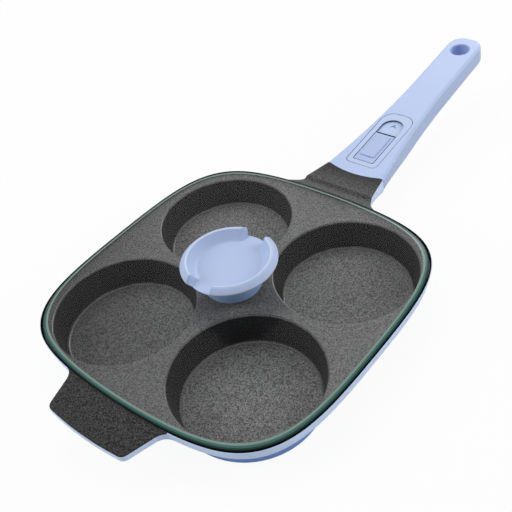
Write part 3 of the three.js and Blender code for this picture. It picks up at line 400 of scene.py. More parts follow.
# Painted shade: dark blue for grooves and gaps, where the plastic would be in shade
GROOVE_SHADE = moulded("groove_shade_blue", (0.05, 0.08, 0.17), (0.06, 0.1, 0.2), 0.7)
CLEAR = clear_glass("lid_clear")
# The glass's green edge, with painted shade towards grazing angles
EDGE = glass_edge("lid_edge", (0.05, 0.14, 0.115), (0.058, 0.155, 0.125), (0.003, 0.006, 0.006))
# Painted highlight on the glass edge's top and painted shade down its side: lighter and darker
# copies of the edge's green
EDGE_HIGHLIGHT = glass_edge("lid_edge_highlight", (0.2, 0.28, 0.26), (0.22, 0.305, 0.28))
EDGE_SHADE = glass_edge("lid_edge_shade", (0.016, 0.045, 0.042), (0.02, 0.052, 0.048))
STEEL = metal("plain_steel", (0.56, 0.57, 0.59), 0.32)
BRASS = metal("plain_brass", (0.6, 0.42, 0.16), 0.34)
SILICONE = moulded("grey_silicone", (0.25, 0.28, 0.34), (0.28, 0.31, 0.37), 0.7, 1500, 0.1)


# Mesh helpers
QUARTER = math.pi / 2


class Skin:
    def __init__(self):
        self.points = []
        self.faces = []
        self.finish = []

    def put(self, points):
        start = len(self.points)
        self.points.extend(tuple(float(v) for v in point) for point in points)
        return start

    def face(self, corners, finish):
        self.faces.append(tuple(corners))
        self.finish.append(finish)

    def strip(self, rings, finish, flip=False):
        starts = [self.put(ring) for ring in rings]
        count = len(rings[0])
        for k in range(len(rings) - 1):
            tone = finish[k] if isinstance(finish, list) else finish
            for i in range(count):
                j = (i + 1) % count
                corners = (starts[k] + i, starts[k] + j, starts[k + 1] + j, starts[k + 1] + i)
                self.face(corners[::-1] if flip else corners, tone)

    def cap(self, ring, finish, flip=False):
        start = self.put(ring)
        corners = range(start, start + len(ring))
        self.face(reversed(corners) if flip else corners, finish)

    def plate(self, outline, holes, height, finish, flip=False):
        loops = [outline, *holes]
        flat = [Vector(point) for loop in loops for point in loop]
        edges = []
        start = 0
        for loop in loops:
            edges += [(start + i, start + (i + 1) % len(loop)) for i in range(len(loop))]
            start += len(loop)
        points, _, faces, *_ = delaunay_2d_cdt(flat, edges, [], 0, 1e-7)
        first = self.put((p.x, p.y, height) for p in points)
        rings = [np.array(hole) for hole in holes]
        middles = [(ring.mean(0), np.hypot(*(ring - ring.mean(0)).T).mean()) for ring in rings]
        for corners in faces:
            centre = np.mean([points[c] for c in corners], axis=0)
            if any(np.hypot(*(centre - middle)) < reach for middle, reach in middles):
                continue
            corners = [first + c for c in corners]
            self.face(corners[::-1] if flip else corners, finish)

    def make(self, name, body, finishes, place, sharp=40, outward=False, weld=True):
        mesh = bpy.data.meshes.new(name)
        mesh.from_pydata(self.points, [], self.faces)
        for finish in finishes:
            mesh.materials.append(finish)
        mesh.polygons.foreach_set("material_index", self.finish)
        work = bmesh.new()
        work.from_mesh(mesh)
        if weld:
            bmesh.ops.remove_doubles(work, verts=work.verts, dist=1e-4)
        if outward:
            bmesh.ops.recalc_face_normals(work, faces=work.faces)
        work.to_mesh(mesh)
        work.free()
        mesh.transform(place)
        mesh.polygons.foreach_set("use_smooth", [True] * len(mesh.polygons))
        mesh.set_sharp_from_angle(angle=math.radians(sharp))
        made = bpy.data.objects.new(name, mesh)
        bpy.context.scene.collection.objects.link(made)
        if body:
            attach(made, body)
        return made


def arc(centre, radius, start, end, steps):
    return [
        (centre[0] + radius * math.cos(a), centre[1] + radius * math.sin(a))
        for a in np.linspace(start, end, steps + 1)
    ]


def circle(radius, count, centre=(0, 0)):
    turn = np.arange(count) * 2 * math.pi / count
    return np.stack([centre[0] + radius * np.cos(turn), centre[1] + radius * np.sin(turn)], 1)


def level(outline, height):
    return np.column_stack([outline, np.full(len(outline), height)])


def side_bow(amount, distance):
    return amount * np.cos(QUARTER * np.minimum(1, np.abs(distance) / BOW_REACH)) ** 2


def square(half, power, count=480):
    turn = np.arange(count) * 2 * math.pi / count
    along = half * np.abs(np.cos(turn)) ** (2 / power)
    across = half * np.abs(np.sin(turn)) ** (2 / power)
    return np.stack([
        np.sign(np.cos(turn)) * (along + side_bow(BOW_ALONG, across)),
        np.sign(np.sin(turn)) * (across + side_bow(BOW_ACROSS, along)),
    ], 1)


def smooth(low_edge, high_edge, value):
    share = np.clip((value - low_edge) / (high_edge - low_edge), 0, 1)
    return share * share * (3 - 2 * share)


CUPS = [(CUP, CUP), (-CUP, CUP), (-CUP, -CUP), (CUP, -CUP)]


# The casting
def deck():
    skin = Skin()
    ring = lambda half, height: level(square(half, RIM_SQUARE), height)
    lip = CUP_RIM + LIP_ROUND
    skin.plate(
        square(LEDGE[0], RIM_SQUARE),
        [circle(lip, CUP_FACETS, centre) for centre in CUPS] + [circle(DIMPLE + 0.5, ROUND_FACETS)],
        DECK,
        0,
    )
    bead = RIM_ROUND / 2
    seat = [(LEDGE[0], DECK), (LEDGE[1], LEDGE[2]), (SEAT, LEDGE[2]), (SEAT, RIM_TOP - bead)]
    inner = arc((SEAT + bead, RIM_TOP - bead), bead, 2 * QUARTER, QUARTER, 4)[1:]
    outer = arc((HALF_PAN - RIM_ROUND, RIM_TOP - RIM_ROUND), RIM_ROUND, QUARTER, 0, 6)
    foot = arc((SKIRT_FOOT - SKIRT_ROUND, SKIRT_BOTTOM + SKIRT_ROUND), SKIRT_ROUND, 0, -QUARTER, 5)
    under = [(SKIRT_INNER, SKIRT_BOTTOM), (SKIRT_INNER, DECK_UNDER)]
    profile = seat + inner + outer + foot + under
    # The seat wall and rim top take the rim coat, black partly its own and partly painted shade
    tones = [0, 0] + [1] * (len(inner) + 4) + [2] * (len(outer) - 3 + len(foot) + len(under))
    skin.strip([ring(*point) for point in profile], tones, flip=True)
    for number, corners in enumerate(skin.faces):
        x, y, z = np.mean([skin.points[c] for c in corners], axis=0)
        arm, tone = (TAB_ROOT / 2 + 2, 3) if x < 0 else (NECK_ROOT / 2 + NECK_FLARE - 2, 4)
        if abs(x) > rim_middle(y) and abs(y) < arm and z > RIM_TOP - 1.5:
            skin.finish[number] = tone
    skin.plate(
        square(SKIRT_INNER, RIM_SQUARE),
        [circle(CUP_RIM + 1, CUP_FACETS, centre) for centre in CUPS] + [circle(BOSS, ROUND_FACETS)],
        DECK_UNDER,
        2,
        flip=True,
    )
    finishes = [DECK_COAT, RIM_BLACK_AND_SHADE, ENAMEL, ARM_COAT, NECK_COAT]
    made = skin.make("pan_deck", "pan", finishes, to_pan, sharp=50)
    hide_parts("pan_body")


def cup(name, centre):
    skin = Skin()
    floor = CUP_FLOOR
    # Lips and floor fillets take the lip coat, whose dark base is painted shade
    lip = arc((CUP_RIM + LIP_ROUND, DECK - LIP_ROUND), LIP_ROUND, QUARTER, 2 * QUARTER, 8)
    fillet = arc((CUP_FLOOR_RADIUS - FLOOR_ROUND, floor + FLOOR_ROUND), FLOOR_ROUND, 0, -QUARTER, 8)
    inside = lip + fillet
    inside += [(CUP_FLOOR_RADIUS - FLOOR_ROUND - 1, floor), (20, floor), (0.01, floor)]
    wall_start = len(lip) - 1
    # The walls take the near-black wall coat, painted shade
    tones = [1] * wall_start + [2] + [3] * (len(fillet) - 1) + [0] * 3
    skin.strip([level(circle(r, CUP_FACETS, centre), z) for r, z in inside], tones)
    foot = CUP_FLOOR_RADIUS + CUP_WALL
    heel = arc((foot - BASE_ROUND, BASE_ROUND), BASE_ROUND, 0, -QUARTER, 8)
    outside = [(CUP_RIM + 1, DECK_UNDER + 0.3), (CUP_RIM + CUP_WALL, DECK_UNDER + 0.3), *heel]
    outside += [(foot - BASE_ROUND - 1, 0), (18, 0), (0.01, 0)]
    # Painted shade: the cups' outsides take the darker enamel
    skin.strip([level(circle(r, CUP_FACETS, centre), z) for r, z in outside], 4, flip=True)
    finishes = [FLOOR_COAT, LIP_SHADE_COAT, SHADED_WALL_COAT, LIP_SHADE_COAT, SHADED_ENAMEL]
    made = skin.make(name, "pan", finishes, to_pan, sharp=50, weld=False)


def boss():
    skin = Skin()
    hollow = [(DIMPLE + 0.5, DECK), (DIMPLE + 0.15, DECK - 0.15), (DIMPLE, DECK - 0.5)]
    hollow += arc((DIMPLE - 1, DIMPLE_FLOOR + 1), 1, 0, -QUARTER, 4) + [(0.01, DIMPLE_FLOOR)]
    skin.strip([level(circle(r, ROUND_FACETS), z) for r, z in hollow], 0)
    lump = [(BOSS, DECK_UNDER)]
    lump += arc((BOSS - 1, BOSS_BOTTOM + 1), 1, 0, -QUARTER, 4) + [(0.01, BOSS_BOTTOM)]
    skin.strip([level(circle(r, ROUND_FACETS), z) for r, z in lump], 1, flip=True)
    made = skin.make("pan_boss", "pan", [DECK_COAT, ENAMEL], to_pan, weld=False)


# A plan outline, rounded over at its top and bottom edges
def rounded_slab(skin, outline, top, bottom, top_round, bottom_round, tones, steps=6, share=None):
    outline = np.array(outline)
    ahead, behind = np.roll(outline, -1, 0), np.roll(outline, 1, 0)
    out = np.stack([(ahead - behind)[:, 1], (behind - ahead)[:, 0]], 1)
    out /= np.linalg.norm(out, axis=1)[:, None]
    if share is not None:
        out *= share[:, None]
    rings = []
    for turn in np.linspace(0, QUARTER, steps + 1):
        inset, drop = top_round * (1 - math.sin(turn)), top_round * (1 - math.cos(turn))
        rings.append(level(outline - inset * out, top - drop))
    for turn in np.linspace(QUARTER, 0, steps + 1):
        inset, drop = bottom_round * (1 - math.sin(turn)), bottom_round * (1 - math.cos(turn))
        rings.append(level(outline - inset * out, bottom + drop))
    skin.cap(rings[0], tones[0])
    skin.strip(rings, [tones[0]] * steps + [tones[1]] * (len(rings) - 1 - steps), flip=True)
    skin.cap(rings[-1], tones[1], flip=True)


def bend(start, middle, end, steps=10):
    share = np.linspace(0, 1, steps + 1)[:, None]
    start, middle, end = map(np.array, (start, middle, end))
    return (1 - share) ** 2 * start + 2 * share * (1 - share) * middle + share**2 * end


def rim_middle(across):
    half = (SEAT + HALF_PAN) / 2
    plain = half * (1 - (np.abs(across) / half) ** RIM_SQUARE) ** (1 / RIM_SQUARE)
    return plain + side_bow(BOW_ALONG, across)


def tab():
    tip = HALF_PAN + TAB_REACH
    wide, narrow = TAB_ROOT / 2, TAB_TIP / 2
    root = wide + TAB_FLARE
    lean = np.array([tip - HALF_PAN, wide - narrow])
    lean = TAB_CORNER * lean / np.linalg.norm(lean)
    corner = (-tip, -narrow)
    side = np.vstack([
        bend(
            (-rim_middle(root) + 0.5, -root),
            (-HALF_PAN + 0.4, -wide - 0.2),
            (-HALF_PAN - TAB_FLARE, -wide + 2),
        ),
        bend((corner[0] + lean[0], corner[1] - lean[1]), corner, (-tip, -narrow + TAB_CORNER)),
    ])
    across = np.linspace(root, -root, 40)[1:-1]
    inner = np.stack([-rim_middle(across), across], 1)
    stop = narrow - TAB_CORNER
    end = bend((-tip, -stop), (-tip - 2 * TAB_BOW, 0), (-tip, stop), 24)[1:-1]
    outline = np.vstack([side, end, (side * (1, -1))[::-1], inner])[::-1]
    skin = Skin()
    clear = np.clip((-outline[:, 0] - rim_middle(outline[:, 1])) / 4, 0, 1)
    low_side, top_round = TAB_TOP - TAB_THICK, TAB_ROUND * 0.6
    rounded_slab(skin, outline, TAB_TOP, low_side, top_round, TAB_ROUND, (0, 1), share=clear)
    made = skin.make("pan_tab", "pan", [ARM_COAT, ENAMEL], to_pan, outward=True)


def bar_section(half, depth, top_round, bottom_round):
    side, foot = half - top_round, half - bottom_round
    spread = lambda start, end, height: [(v, height) for v in np.linspace(start, end, 26)[1:-1]]
    return [
        *arc((side, -top_round), top_round, 0, QUARTER, 6),
        *spread(side, -side, 0),
        *arc((-side, -top_round), top_round, QUARTER, 2 * QUARTER, 6),
        *arc((-foot, -depth + bottom_round), bottom_round, 2 * QUARTER, 3 * QUARTER, 6),
        *spread(-foot, foot, -depth),
        *arc((foot, -depth + bottom_round), bottom_round, 3 * QUARTER, 4 * QUARTER, 6),
    ]


def bow(across):
    share = across / (ROOT_WIDTH / 2)
    return BOW * share * share


def neck():
    skin = Skin()
    rings = []
    for share in np.linspace(0, 1, 60):
        half = (NECK_ROOT + (NECK_TIP - NECK_ROOT) * share) / 2 + NECK_FLARE * (1 - share) ** 8
        fall, rise = smooth(0, NECK_VALLEY, share), smooth(NECK_VALLEY, NECK_STEP_END, share)
        dip = NECK_DIP * float(fall - rise)
        top = RIM_TOP + (DECK + HANDLE_LIFT - RIM_TOP) * share - dip
        depth = 8 + (THICK - 8.2) * share**2 - dip
        ring = []
        for across, height in bar_section(half, depth, NECK_TOP_ROUND, min(ROOT_ROUND, depth / 2)):
            root = float(rim_middle(across))
            back = share**2 * (bow(across) - FIT - height * math.sin(PITCH))
            reach = (HALF_PAN + NECK_REACH - root) * share
            ring.append((root + reach + back, across, top + height))
        rings.append(ring)
    count = len(rings[0])
    starts = [skin.put(ring) for ring in rings]
    upper = 7 + 24 + 7
    for k in range(len(rings) - 1):
        for i in range(count):
            j = (i + 1) % count
            tone = 0 if 2 <= i < upper - 3 else 1
            skin.face((starts[k] + i, starts[k] + j, starts[k + 1] + j, starts[k + 1] + i), tone)
    skin.face(range(starts[0], starts[0] + count), 0)
    skin.face(range(starts[-1], starts[-1] + count), 0)
    made = skin.make("pan_neck", "pan", [NECK_COAT, ENAMEL], to_pan, outward=True)


def tongue():
    skin = Skin()
    side = [(-4, -9), (36.5, -9), (37.5, -8.6), (38, -7.6)]
    outline = side + [(along, -across) for along, across in side[::-1]]
    rounded_slab(skin, outline, -8.3, -12.3, 0.5, 0.5, (0, 0), 3)
    made = skin.make("pan_tongue", "pan", [STEEL], to_handle, outward=True)


deck()
for number, centre in enumerate(CUPS):
    cup(f"pan_cup_{number + 1}", centre)
boss()
tab()
neck()
tongue()


# The lid
def lid():
    skin = Skin()
    outline = lambda inset: square(HALF_LID - inset, GLASS_SQUARE)
    shoulder = GLASS_HIGH - BEVEL_DROP
    edge = [(BEVEL_WIDTH + 0.1, GLASS_HIGH), (BEVEL_WIDTH - 0.2, GLASS_HIGH - 0.02)]
    slope = bend((1.9, GLASS_HIGH - 0.25), (1, shoulder + 0.35), (0.15, shoulder), 5)
    edge += [tuple(p) for p in slope]
    edge += [(0, shoulder - 0.25), (0, GLASS_LOW + 0.5), (0.15, GLASS_LOW + 0.15), (0.5, GLASS_LOW)]
    skin.plate(outline(edge[0][0]), [circle(GLASS_HOLE, HOLE_FACETS)], GLASS_HIGH, 0)
    # Painted highlight on the bands at the top of the edge, painted shade on its shoulder and side
    tones = [2, 2] + [1] * 3 + [3] * (len(edge) - 6)
    skin.strip([level(outline(inset), height) for inset, height in edge], tones, flip=True)
    skin.plate(outline(edge[-1][0]), [circle(GLASS_HOLE, HOLE_FACETS)], GLASS_LOW, 0, flip=True)
    skin.strip([level(circle(GLASS_HOLE, HOLE_FACETS), z) for z in (GLASS_HIGH, GLASS_LOW)], 0)
    finishes = [CLEAR, EDGE, EDGE_HIGHLIGHT, EDGE_SHADE]
    # Not welded, so that the flat faces keep flat normals
    made = skin.make("lid_glass", "lid", finishes, to_pan, sharp=60, weld=False)
    made.visible_shadow = False
    made.visible_diffuse = False
    made.visible_glossy = False
    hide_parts("glass_lid")


def knob():
    skin = Skin()
    top, floor = KNOB_TOP, KNOB_FLOOR
    dish = [(r, floor) for r in (0.01, 6, 12, 17, 19.2)]
    dish += [tuple(p) for p in bend((19.8, floor), (21.4, floor), (22.3, floor + 1.2), 8)]
    crest = [tuple(p) for p in bend((25.8, top - 1.2), (26.4, top), (27.6, top - 0.2), 6)]
    cone = [(28.6, top - 0.9), (29.6, top - 1.8), (30.5, top - 2.7)]
    turned = bend((30.9, top - 3.1), (KNOB_RADIUS + 0.15, top - 4), (30.7, top - 4.7), 6)
    rim = [tuple(p) for p in turned]
    lower = [(29.6, top - 5.8), (NOTCH_REACH, floor + 0.2)]
    edge_end = len(dish) + len(crest) + len(cone) + len(rim) + len(lower)
    under = [(27.8, floor - 0.6)]
    throat = bend((27, floor - 1.3), (KNOB_STEM + 1.5, 42.6), (KNOB_STEM, KNOB_STEM_TOP), 10)
    under += [tuple(p) for p in throat]
    stem = [(KNOB_STEM, KNOB_BOTTOM + 0.6), (KNOB_STEM - 0.6, KNOB_BOTTOM)]
    stem += [(4.65, KNOB_BOTTOM), (4.65, KNOB_BOTTOM + 10), (0.01, KNOB_BOTTOM + 10)]
    profile = dish + crest + cone + rim + lower + under + stem
    # Degrees round a quarter of the knob, closest together at the notch's edge
    near = np.concatenate([
        np.linspace(0, 13, 10)[:-1],
        np.linspace(13, 32, 66)[:-1],
        np.linspace(32, 90, 27),
    ])
    turn = np.concatenate([near, 180 - near, 180 + near, 360 - near])
    turn = np.radians(np.unique(np.round(np.mod(turn, 360), 4)))
    rings = []
    for number, (radius, height) in enumerate(profile):
        keep = smooth(KNOB_NOTCH - 0.7, KNOB_NOTCH + 0.9, np.abs(radius * np.sin(turn)))
        flat = min(height, floor) if number < edge_end else height
        inner = min(radius, NOTCH_REACH) if number < edge_end else radius
        reach = keep * radius + (1 - keep) * inner
        z = keep * height + (1 - keep) * flat
        rings.append(np.stack([reach * np.cos(turn), reach * np.sin(turn), z], 1))
    tones = [0] * (len(profile) - 1)
    # Painted highlight: lighter bands along the crest and the rim's lower edge
    bright = len(dish) + 2
    tones[bright:bright + 3] = [1] * 3
    bright = len(dish) + len(crest) + len(cone)
    tones[bright:bright + 2] = [1] * 2
    # Painted shade: the underside and stem take the deeper blue
    tones[edge_end:] = [2] * len(tones[edge_end:])
    skin.strip(rings, tones, flip=True)
    # No painted highlight on the faces beside the notches
    for number, corners in enumerate(skin.faces):
        across = abs(np.mean([skin.points[c][1] for c in corners]))
        if skin.finish[number] == 1 and across < KNOB_NOTCH + 1.5:
            skin.finish[number] = 0
    finishes = [KNOB_PLASTIC, KNOB_HIGHLIGHT, KNOB_UNDER_SHADE]
    made = skin.make("lid_grip", "lid", finishes, to_pan, sharp=60, outward=True)
    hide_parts("lid_knob")


lid()
knob()


# The handle
def half_width(station):
    left = np.maximum(0, 1 - station / TAPER)
    return GRIP_WIDTH / 2 + (ROOT_WIDTH - GRIP_WIDTH) / 2 * left * left


def depth_at(station):
    share = smooth(HANDLE_LENGTH - TIP_TAPER, HANDLE_LENGTH - TIP_REACH, station)
    return THICK + (TIP_THICK - THICK) * share


def handle_outline():
    tip = HANDLE_LENGTH - TIP_REACH
    side = np.linspace(BOW, tip, 90)[1:-1]
    turn = np.linspace(-QUARTER, QUARTER, 60)
    power = 2 / TIP_SQUARE
    end = np.stack([
        tip + (TIP_REACH - 0.05) * np.abs(np.cos(turn)) ** power,
        float(half_width(np.array(tip))) * np.sign(turn) * np.abs(np.sin(turn)) ** power,
    ], 1)
    corner = float(half_width(np.array(BOW)))
    across = np.linspace(corner, -corner, 41)
    mouth = np.stack([bow(across), across], 1)
    right = np.stack([side, -half_width(side)], 1)
    left = np.stack([side, half_width(side)], 1)[::-1]
    return np.vstack([right, end, left, mouth]), len(side) * 2 + len(end)


def bottom_round(station):
    return ROOT_ROUND + (BOTTOM_ROUND - ROOT_ROUND) * smooth(0, ROOT_BLEND, station)


def handle_blank():
    outline, mouth_start = handle_outline()
    count = len(outline)
    ahead, behind = np.roll(outline, -1, 0), np.roll(outline, 1, 0)
    out = np.stack([(ahead - behind)[:, 1], (behind - ahead)[:, 0]], 1)
    out /= np.linalg.norm(out, axis=1)[:, None]
    at_mouth = np.arange(count) >= mouth_start
    corner = np.abs(outline[mouth_start:, 1]).max()
    rings = []
    for low_side in (False, True):
        for turn in np.linspace(0, QUARTER, 9) if not low_side else np.linspace(QUARTER, 0, 9):
            radius = bottom_round(outline[:, 0]) if low_side else np.full(count, float(TOP_ROUND))
            inset = radius * (1 - math.sin(turn))
            drop = radius * (1 - math.cos(turn))
            height = drop - depth_at(outline[:, 0]) if low_side else -drop
            across = outline[:, 1] * (1 - inset / corner)
            bowed = np.stack([bow(across), across], 1)
            plan = np.where(at_mouth[:, None], bowed, outline - inset[:, None] * out)
            rings.append(np.column_stack([plan, height]))
    skin = Skin()
    skin.cap(rings[0], 0)
    # Painted shade: the flanks and underside take the darker side plastic
    skin.strip(rings, [0] * 7 + [3] * (len(rings) - 8), flip=True)
    skin.cap(rings[-1], 3, flip=True)
    return skin


def rounded_plan(start, end, half, near, far, steps=12):
    return np.array(
        arc((start + near, -half + near), near, 2 * QUARTER, 3 * QUARTER, steps)
        + arc((end - far, -half + far), far, 3 * QUARTER, 4 * QUARTER, steps)
        + arc((end - far, half - far), far, 0, QUARTER, steps)
        + arc((start + near, half - near), near, QUARTER, 2 * QUARTER, steps)
    )


def prism(outline, bottom, top, tone=0, side=None):
    skin = Skin()
    skin.cap(level(outline, top), tone)
    side = tone if side is None else side
    skin.strip([level(outline, top), level(outline, bottom)], side, flip=True)
    skin.cap(level(outline, bottom), tone, flip=True)
    return skin


def carve(body, cutters):
    for cutter in cutters:
        step = body.modifiers.new("cut", "BOOLEAN")
        step.operation = "DIFFERENCE"
        step.solver = "EXACT"
        step.object = cutter
    graph = bpy.context.evaluated_depsgraph_get()
    mesh = bpy.data.meshes.new_from_object(body.evaluated_get(graph))
    old = body.data
    body.modifiers.clear()
    body.data = mesh
    bpy.data.meshes.remove(old)
    for cutter in cutters:
        bpy.data.objects.remove(cutter)


def settle(made, sharp=40, edge=0):
    made.data.polygons.foreach_set("use_smooth", [True] * len(made.data.polygons))
    if edge:
        round_over = made.modifiers.new("edge", "BEVEL")
        round_over.width = edge * MM
        round_over.segments = 2
        round_over.limit_method = "ANGLE"
        round_over.angle_limit = math.radians(sharp)
    else:
        made.data.set_sharp_from_angle(angle=math.radians(sharp))
    flat = made.modifiers.new("flat", "WEIGHTED_NORMAL")
    flat.keep_sharp = True
    flat.weight = 100


def grip():
    finishes = [PLASTIC, GROOVE_SHADE, HOLE_SHADE, SHADED_SIDE]
    made = handle_blank().make("handle_body", None, finishes, to_handle, outward=True)
    cutter = lambda name, skin: skin.make(name, None, finishes, to_handle, outward=True)
    flare, depth = HOLE + HOLE_ROUND, float(depth_at(np.array(HOLE_STATION)))
    edge = [
        (HOLE + HOLE_ROUND * (1 - math.cos(a)), HOLE_ROUND * (1 - math.sin(a)))
        for a in np.linspace(QUARTER, 0, 6)
    ]
    upper = [(r, -z) for r, z in edge]
    lower = [(r, -depth + z) for r, z in edge][::-1]
    profile = [(0.01, 3), (flare, 3)] + upper + lower + [(flare, -depth - 3), (0.01, -depth - 3)]
    # Painted shade: the hanging hole's wall takes the darker hole plastic
    hole = Skin()
    rings = [level(circle(r, 72, (HOLE_STATION, 0)), z) for r, z in profile]
    hole.cap(rings[0], 2)
    hole.strip(rings, 2)
    hole.cap(rings[-1], 2)
    start, end, half = BEZEL
    # Painted shade: the bezel seat's faces take the dark groove colour, so the gap round the inlay
    # reads dark
    seat = prism(rounded_plan(start, end, half, 4, 10), -2.65, 3, 1)
    pocket = prism(rounded_plan(-3, 65.5, 10.3, 0.3, 0.3, 2), -13.6, -5.7, 0)
    start, end, half = COVER
    under = prism(rounded_plan(start, end + FIT, half + FIT, 5, 5), -THICK - 3, -13.35, 0)
    carve(made, [
        cutter("hole_cut", hole),
        cutter("seat_cut", seat),
        cutter("pocket_cut", pocket),
        cutter("under_cut", under),
    ])
    settle(made)
    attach(made, "handle")
    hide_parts("handle_shell")


def inlay():
    start, end, half = BEZEL
    made = prism(rounded_plan(start + 0.4, end - 0.4, half - 0.4, 3.6, 9.6, 16), -2.4, 0).make(
        "lock_inlay", None, [INLAY, GROOVE_SHADE, INSET], to_handle, outward=True
    )
    begin, finish, wide = TRACK
    room = wide + 0.15
    plan = rounded_plan(begin - 0.15, finish + 0.15, room, 1.5, room, 16)
    # Painted shade: the track's walls take the dark groove colour
    track = prism(plan, -TRACK_DEPTH, 2, 0, 1)
    slot = prism(rounded_plan(25.75, 42.5, 3.25, 0.4, 0.4, 3), -4, 2)
    mark = np.array([(57.3, -2.5), (61.3, 0), (57.3, 2.5), (58.4, 0)])
    arrow = prism(mark, -TRACK_DEPTH - 0.4, 2, 2)
    cutter = lambda name, skin: skin.make(name, None, [INLAY, GROOVE_SHADE, INSET], to_handle, outward=True)
    carve(made, [cutter("track_cut", track), cutter("slot_cut", slot), cutter("arrow_cut", arrow)])
    settle(made, 30, 0.25)
    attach(made, "handle")
    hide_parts("track_bezel")


def slider():
    begin, _, wide = TRACK
    skin = prism(rounded_plan(begin + 0.35, SLIDER_END, wide - 0.45, 1.2, 0.6, 6), -1.25, 0)
    plate = skin.make("thumb_slider", None, [SLIDER, GROOVE_SHADE], to_handle, outward=True)
    # Painted shade: a dark groove line across the slider near its far end
    groove = rounded_plan(SLIDER_END - 1.7, SLIDER_END - 0.5, wide + 2, 0.2, 0.2, 2)
    line = prism(groove, -0.9, 2, 1)
    carve(plate, [line.make("line_cut", None, [SLIDER, GROOVE_SHADE], to_handle, outward=True)])
    pad = Skin()
    outline = rounded_plan(begin + 5.65, SLIDER_END - 3.4, wide - 2.55, 1.2, 1.2, 6)
    rounded_slab(pad, outline, 0.9, -0.2, 0.5, 0.05, (0, 0), 4)
    raised = pad.make("thumb_pad", None, [SLIDER], to_handle, outward=True)
    stem = prism(rounded_plan(26, 34, 3, 0.5, 0.5, 3), -2.4, -1.0)
    post = stem.make("thumb_stem", None, [PLASTIC], to_handle, outward=True)
    settle(plate, 30, 0.12)
    settle(raised, 50)
    for piece in (plate, raised, post):
        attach(piece, "slider")
    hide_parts("lock_slider")


def cover():
    start, end, half = COVER
    made = prism(rounded_plan(start + FIT, end, half, 4.75, 4.75, 12), -THICK, -13.6).make(
        "bottom_cover", None, [PLASTIC], to_handle, outward=True
    )
    cuts = []
    for side in (-1, 1):
        screw = (COVER_SCREW[0], side * COVER_SCREW[1])
        seat = prism(circle(2.55, 32, screw), -THICK - 2, -THICK + 1.25)
        bore = prism(circle(1.45, 24, screw), -THICK - 2, -10)
        room = prism(circle(2.55, 32, (59.25, side * 6.2)), -14.85, -10)
        for label, skin in (("seat", seat), ("bore", bore), ("room", room)):
            cuts.append(skin.make(f"cover_{label}", None, [PLASTIC], to_handle, outward=True))
    carve(made, cuts)
    settle(made, 30, 0.3)
    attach(made, "handle")
    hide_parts("handle_cover")


def spring():
    start, end, radius, wire, height = SPRING
    skin = Skin()
    rings = []
    whole = 2 * math.pi * SPRING_TURNS
    for share in np.linspace(0, 1, SPRING_TURNS * 20 + 1):
        turn = whole * share
        along = Vector((
            end - start, -radius * whole * math.sin(turn), radius * whole * math.cos(turn)
        )).normalized()
        out = Vector((0, math.cos(turn), math.sin(turn)))
        side = along.cross(out)
        centre = Vector((start + (end - start) * share, 0, height)) + radius * out
        rings.append([
            centre + wire * (math.cos(a) * out + math.sin(a) * side)
            for a in np.arange(10) * math.pi / 5
        ])
    skin.cap(rings[0], 0)
    skin.strip(rings, 0)
    skin.cap(rings[-1], 0)
    made = skin.make("return_spring", "handle", [STEEL], to_handle, outward=True)
    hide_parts("slide_spring")
    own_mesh(made)


grip()
inlay()
slider()
cover()
spring()

# Solids that show as they are, or stay hidden inside
FINISH = {
    "knob_gasket": SILICONE,
    "knob_under_gasket": SILICONE,
    "jaw_pad": SILICONE,
    "knob_insert": BRASS,
}
for name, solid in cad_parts.items():
    finish = FINISH.get(name, STEEL)
    solid.data.materials.clear()
    solid.data.materials.append(finish)


# Floor, lights and backdrop
def white_to_view(tree, share, rays):
    path = add(tree, "ShaderNodeLightPath")
    seen = path.outputs[rays[0]]
    for ray in rays[1:]:
        either = add(tree, "ShaderNodeMath", {"operation": "MAXIMUM"})
        tree.links.new(seen, either.inputs[0])
        tree.links.new(path.outputs[ray], either.inputs[1])
        seen = either.outputs[0]
    part = add(tree, "ShaderNodeMath", {"operation": "MULTIPLY"})
    tree.links.new(seen, part.inputs[0])
    part.inputs[1].default_value = share
    return part.outputs[0]


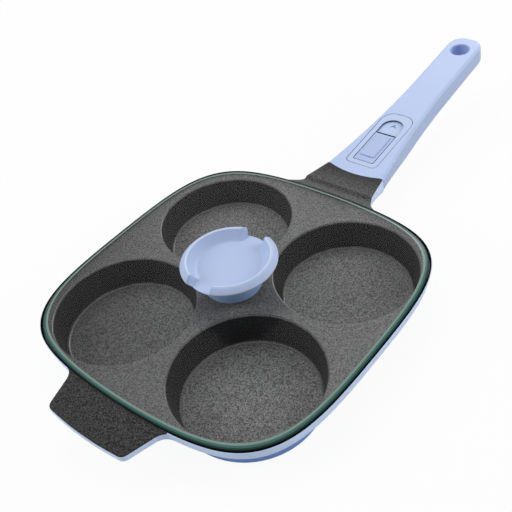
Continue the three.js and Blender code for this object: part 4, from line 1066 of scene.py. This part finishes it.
def studio():
    mesh = bpy.data.meshes.new("studio_floor")
    reach, under = 3, -0.0003
    sides = ((-reach, -reach), (reach, -reach), (reach, reach), (-reach, reach))
    corners = [(x, y, under) for x, y in sides]
    mesh.from_pydata(corners, [], [(0, 1, 2, 3)])
    ground = bpy.data.objects.new("studio_floor", mesh)
    bpy.context.scene.collection.objects.link(ground)
    made, tree, shader = material("pale_floor")
    shader.inputs["Base Color"].default_value = (0.88, 0.88, 0.88, 1)
    shader.inputs["Roughness"].default_value = 0.9
    glow = add(tree, "ShaderNodeEmission", Color=(1, 1, 1, 1), Strength=1.0)
    seen = white_to_view(tree, 0.93, ("Is Camera Ray", "Is Transmission Ray"))
    mix_out(tree, seen, shader, glow, "Material Output")
    mesh.materials.append(made)

    world = bpy.data.worlds.new("studio")
    bpy.context.scene.world = world
    world.use_nodes = True
    tree = world.node_tree
    fill = tree.nodes["Background"]
    fill.inputs["Color"].default_value = (1, 1, 1, 1)
    fill.inputs["Strength"].default_value = 0.26
    bright = add(tree, "ShaderNodeBackground", Color=(1, 1, 1, 1), Strength=1.0)
    seen = white_to_view(tree, 1.0, ("Is Camera Ray", "Is Transmission Ray", "Is Glossy Ray"))
    mix_out(tree, seen, fill, bright, "World Output")

    def lamp(name, place, aim, size, power, mirrored=True, lights=True):
        data = bpy.data.lights.new(name, "AREA")
        data.shape = "SQUARE"
        data.size = size
        data.energy = power
        made = bpy.data.objects.new(name, data)
        made.location = place
        made.rotation_euler = (Vector(aim) - Vector(place)).to_track_quat("-Z", "Y").to_euler()
        made.visible_glossy = mirrored
        made.visible_transmission = mirrored
        made.visible_diffuse = lights
        bpy.context.scene.collection.objects.link(made)

    middle = (PAN_X * MM, 0, 0.02)
    lamp("back_softbox", (0.5, 0.7, 1.8), middle, 1.4, 13.5, mirrored=False)
    lamp("left_softbox", (-1.31, 1.22, 1.04), middle, 1.0, 16.5, mirrored=False)
    lamp("right_softbox", (1.0, -1.3, 1.04), middle, 1.0, 17.5, mirrored=False)
    lamp("end_panel", (1.63, 0.37, 0.96), middle, 0.8, 9.0, lights=False)


studio()
bpy.context.scene.view_settings.view_transform = "Standard"
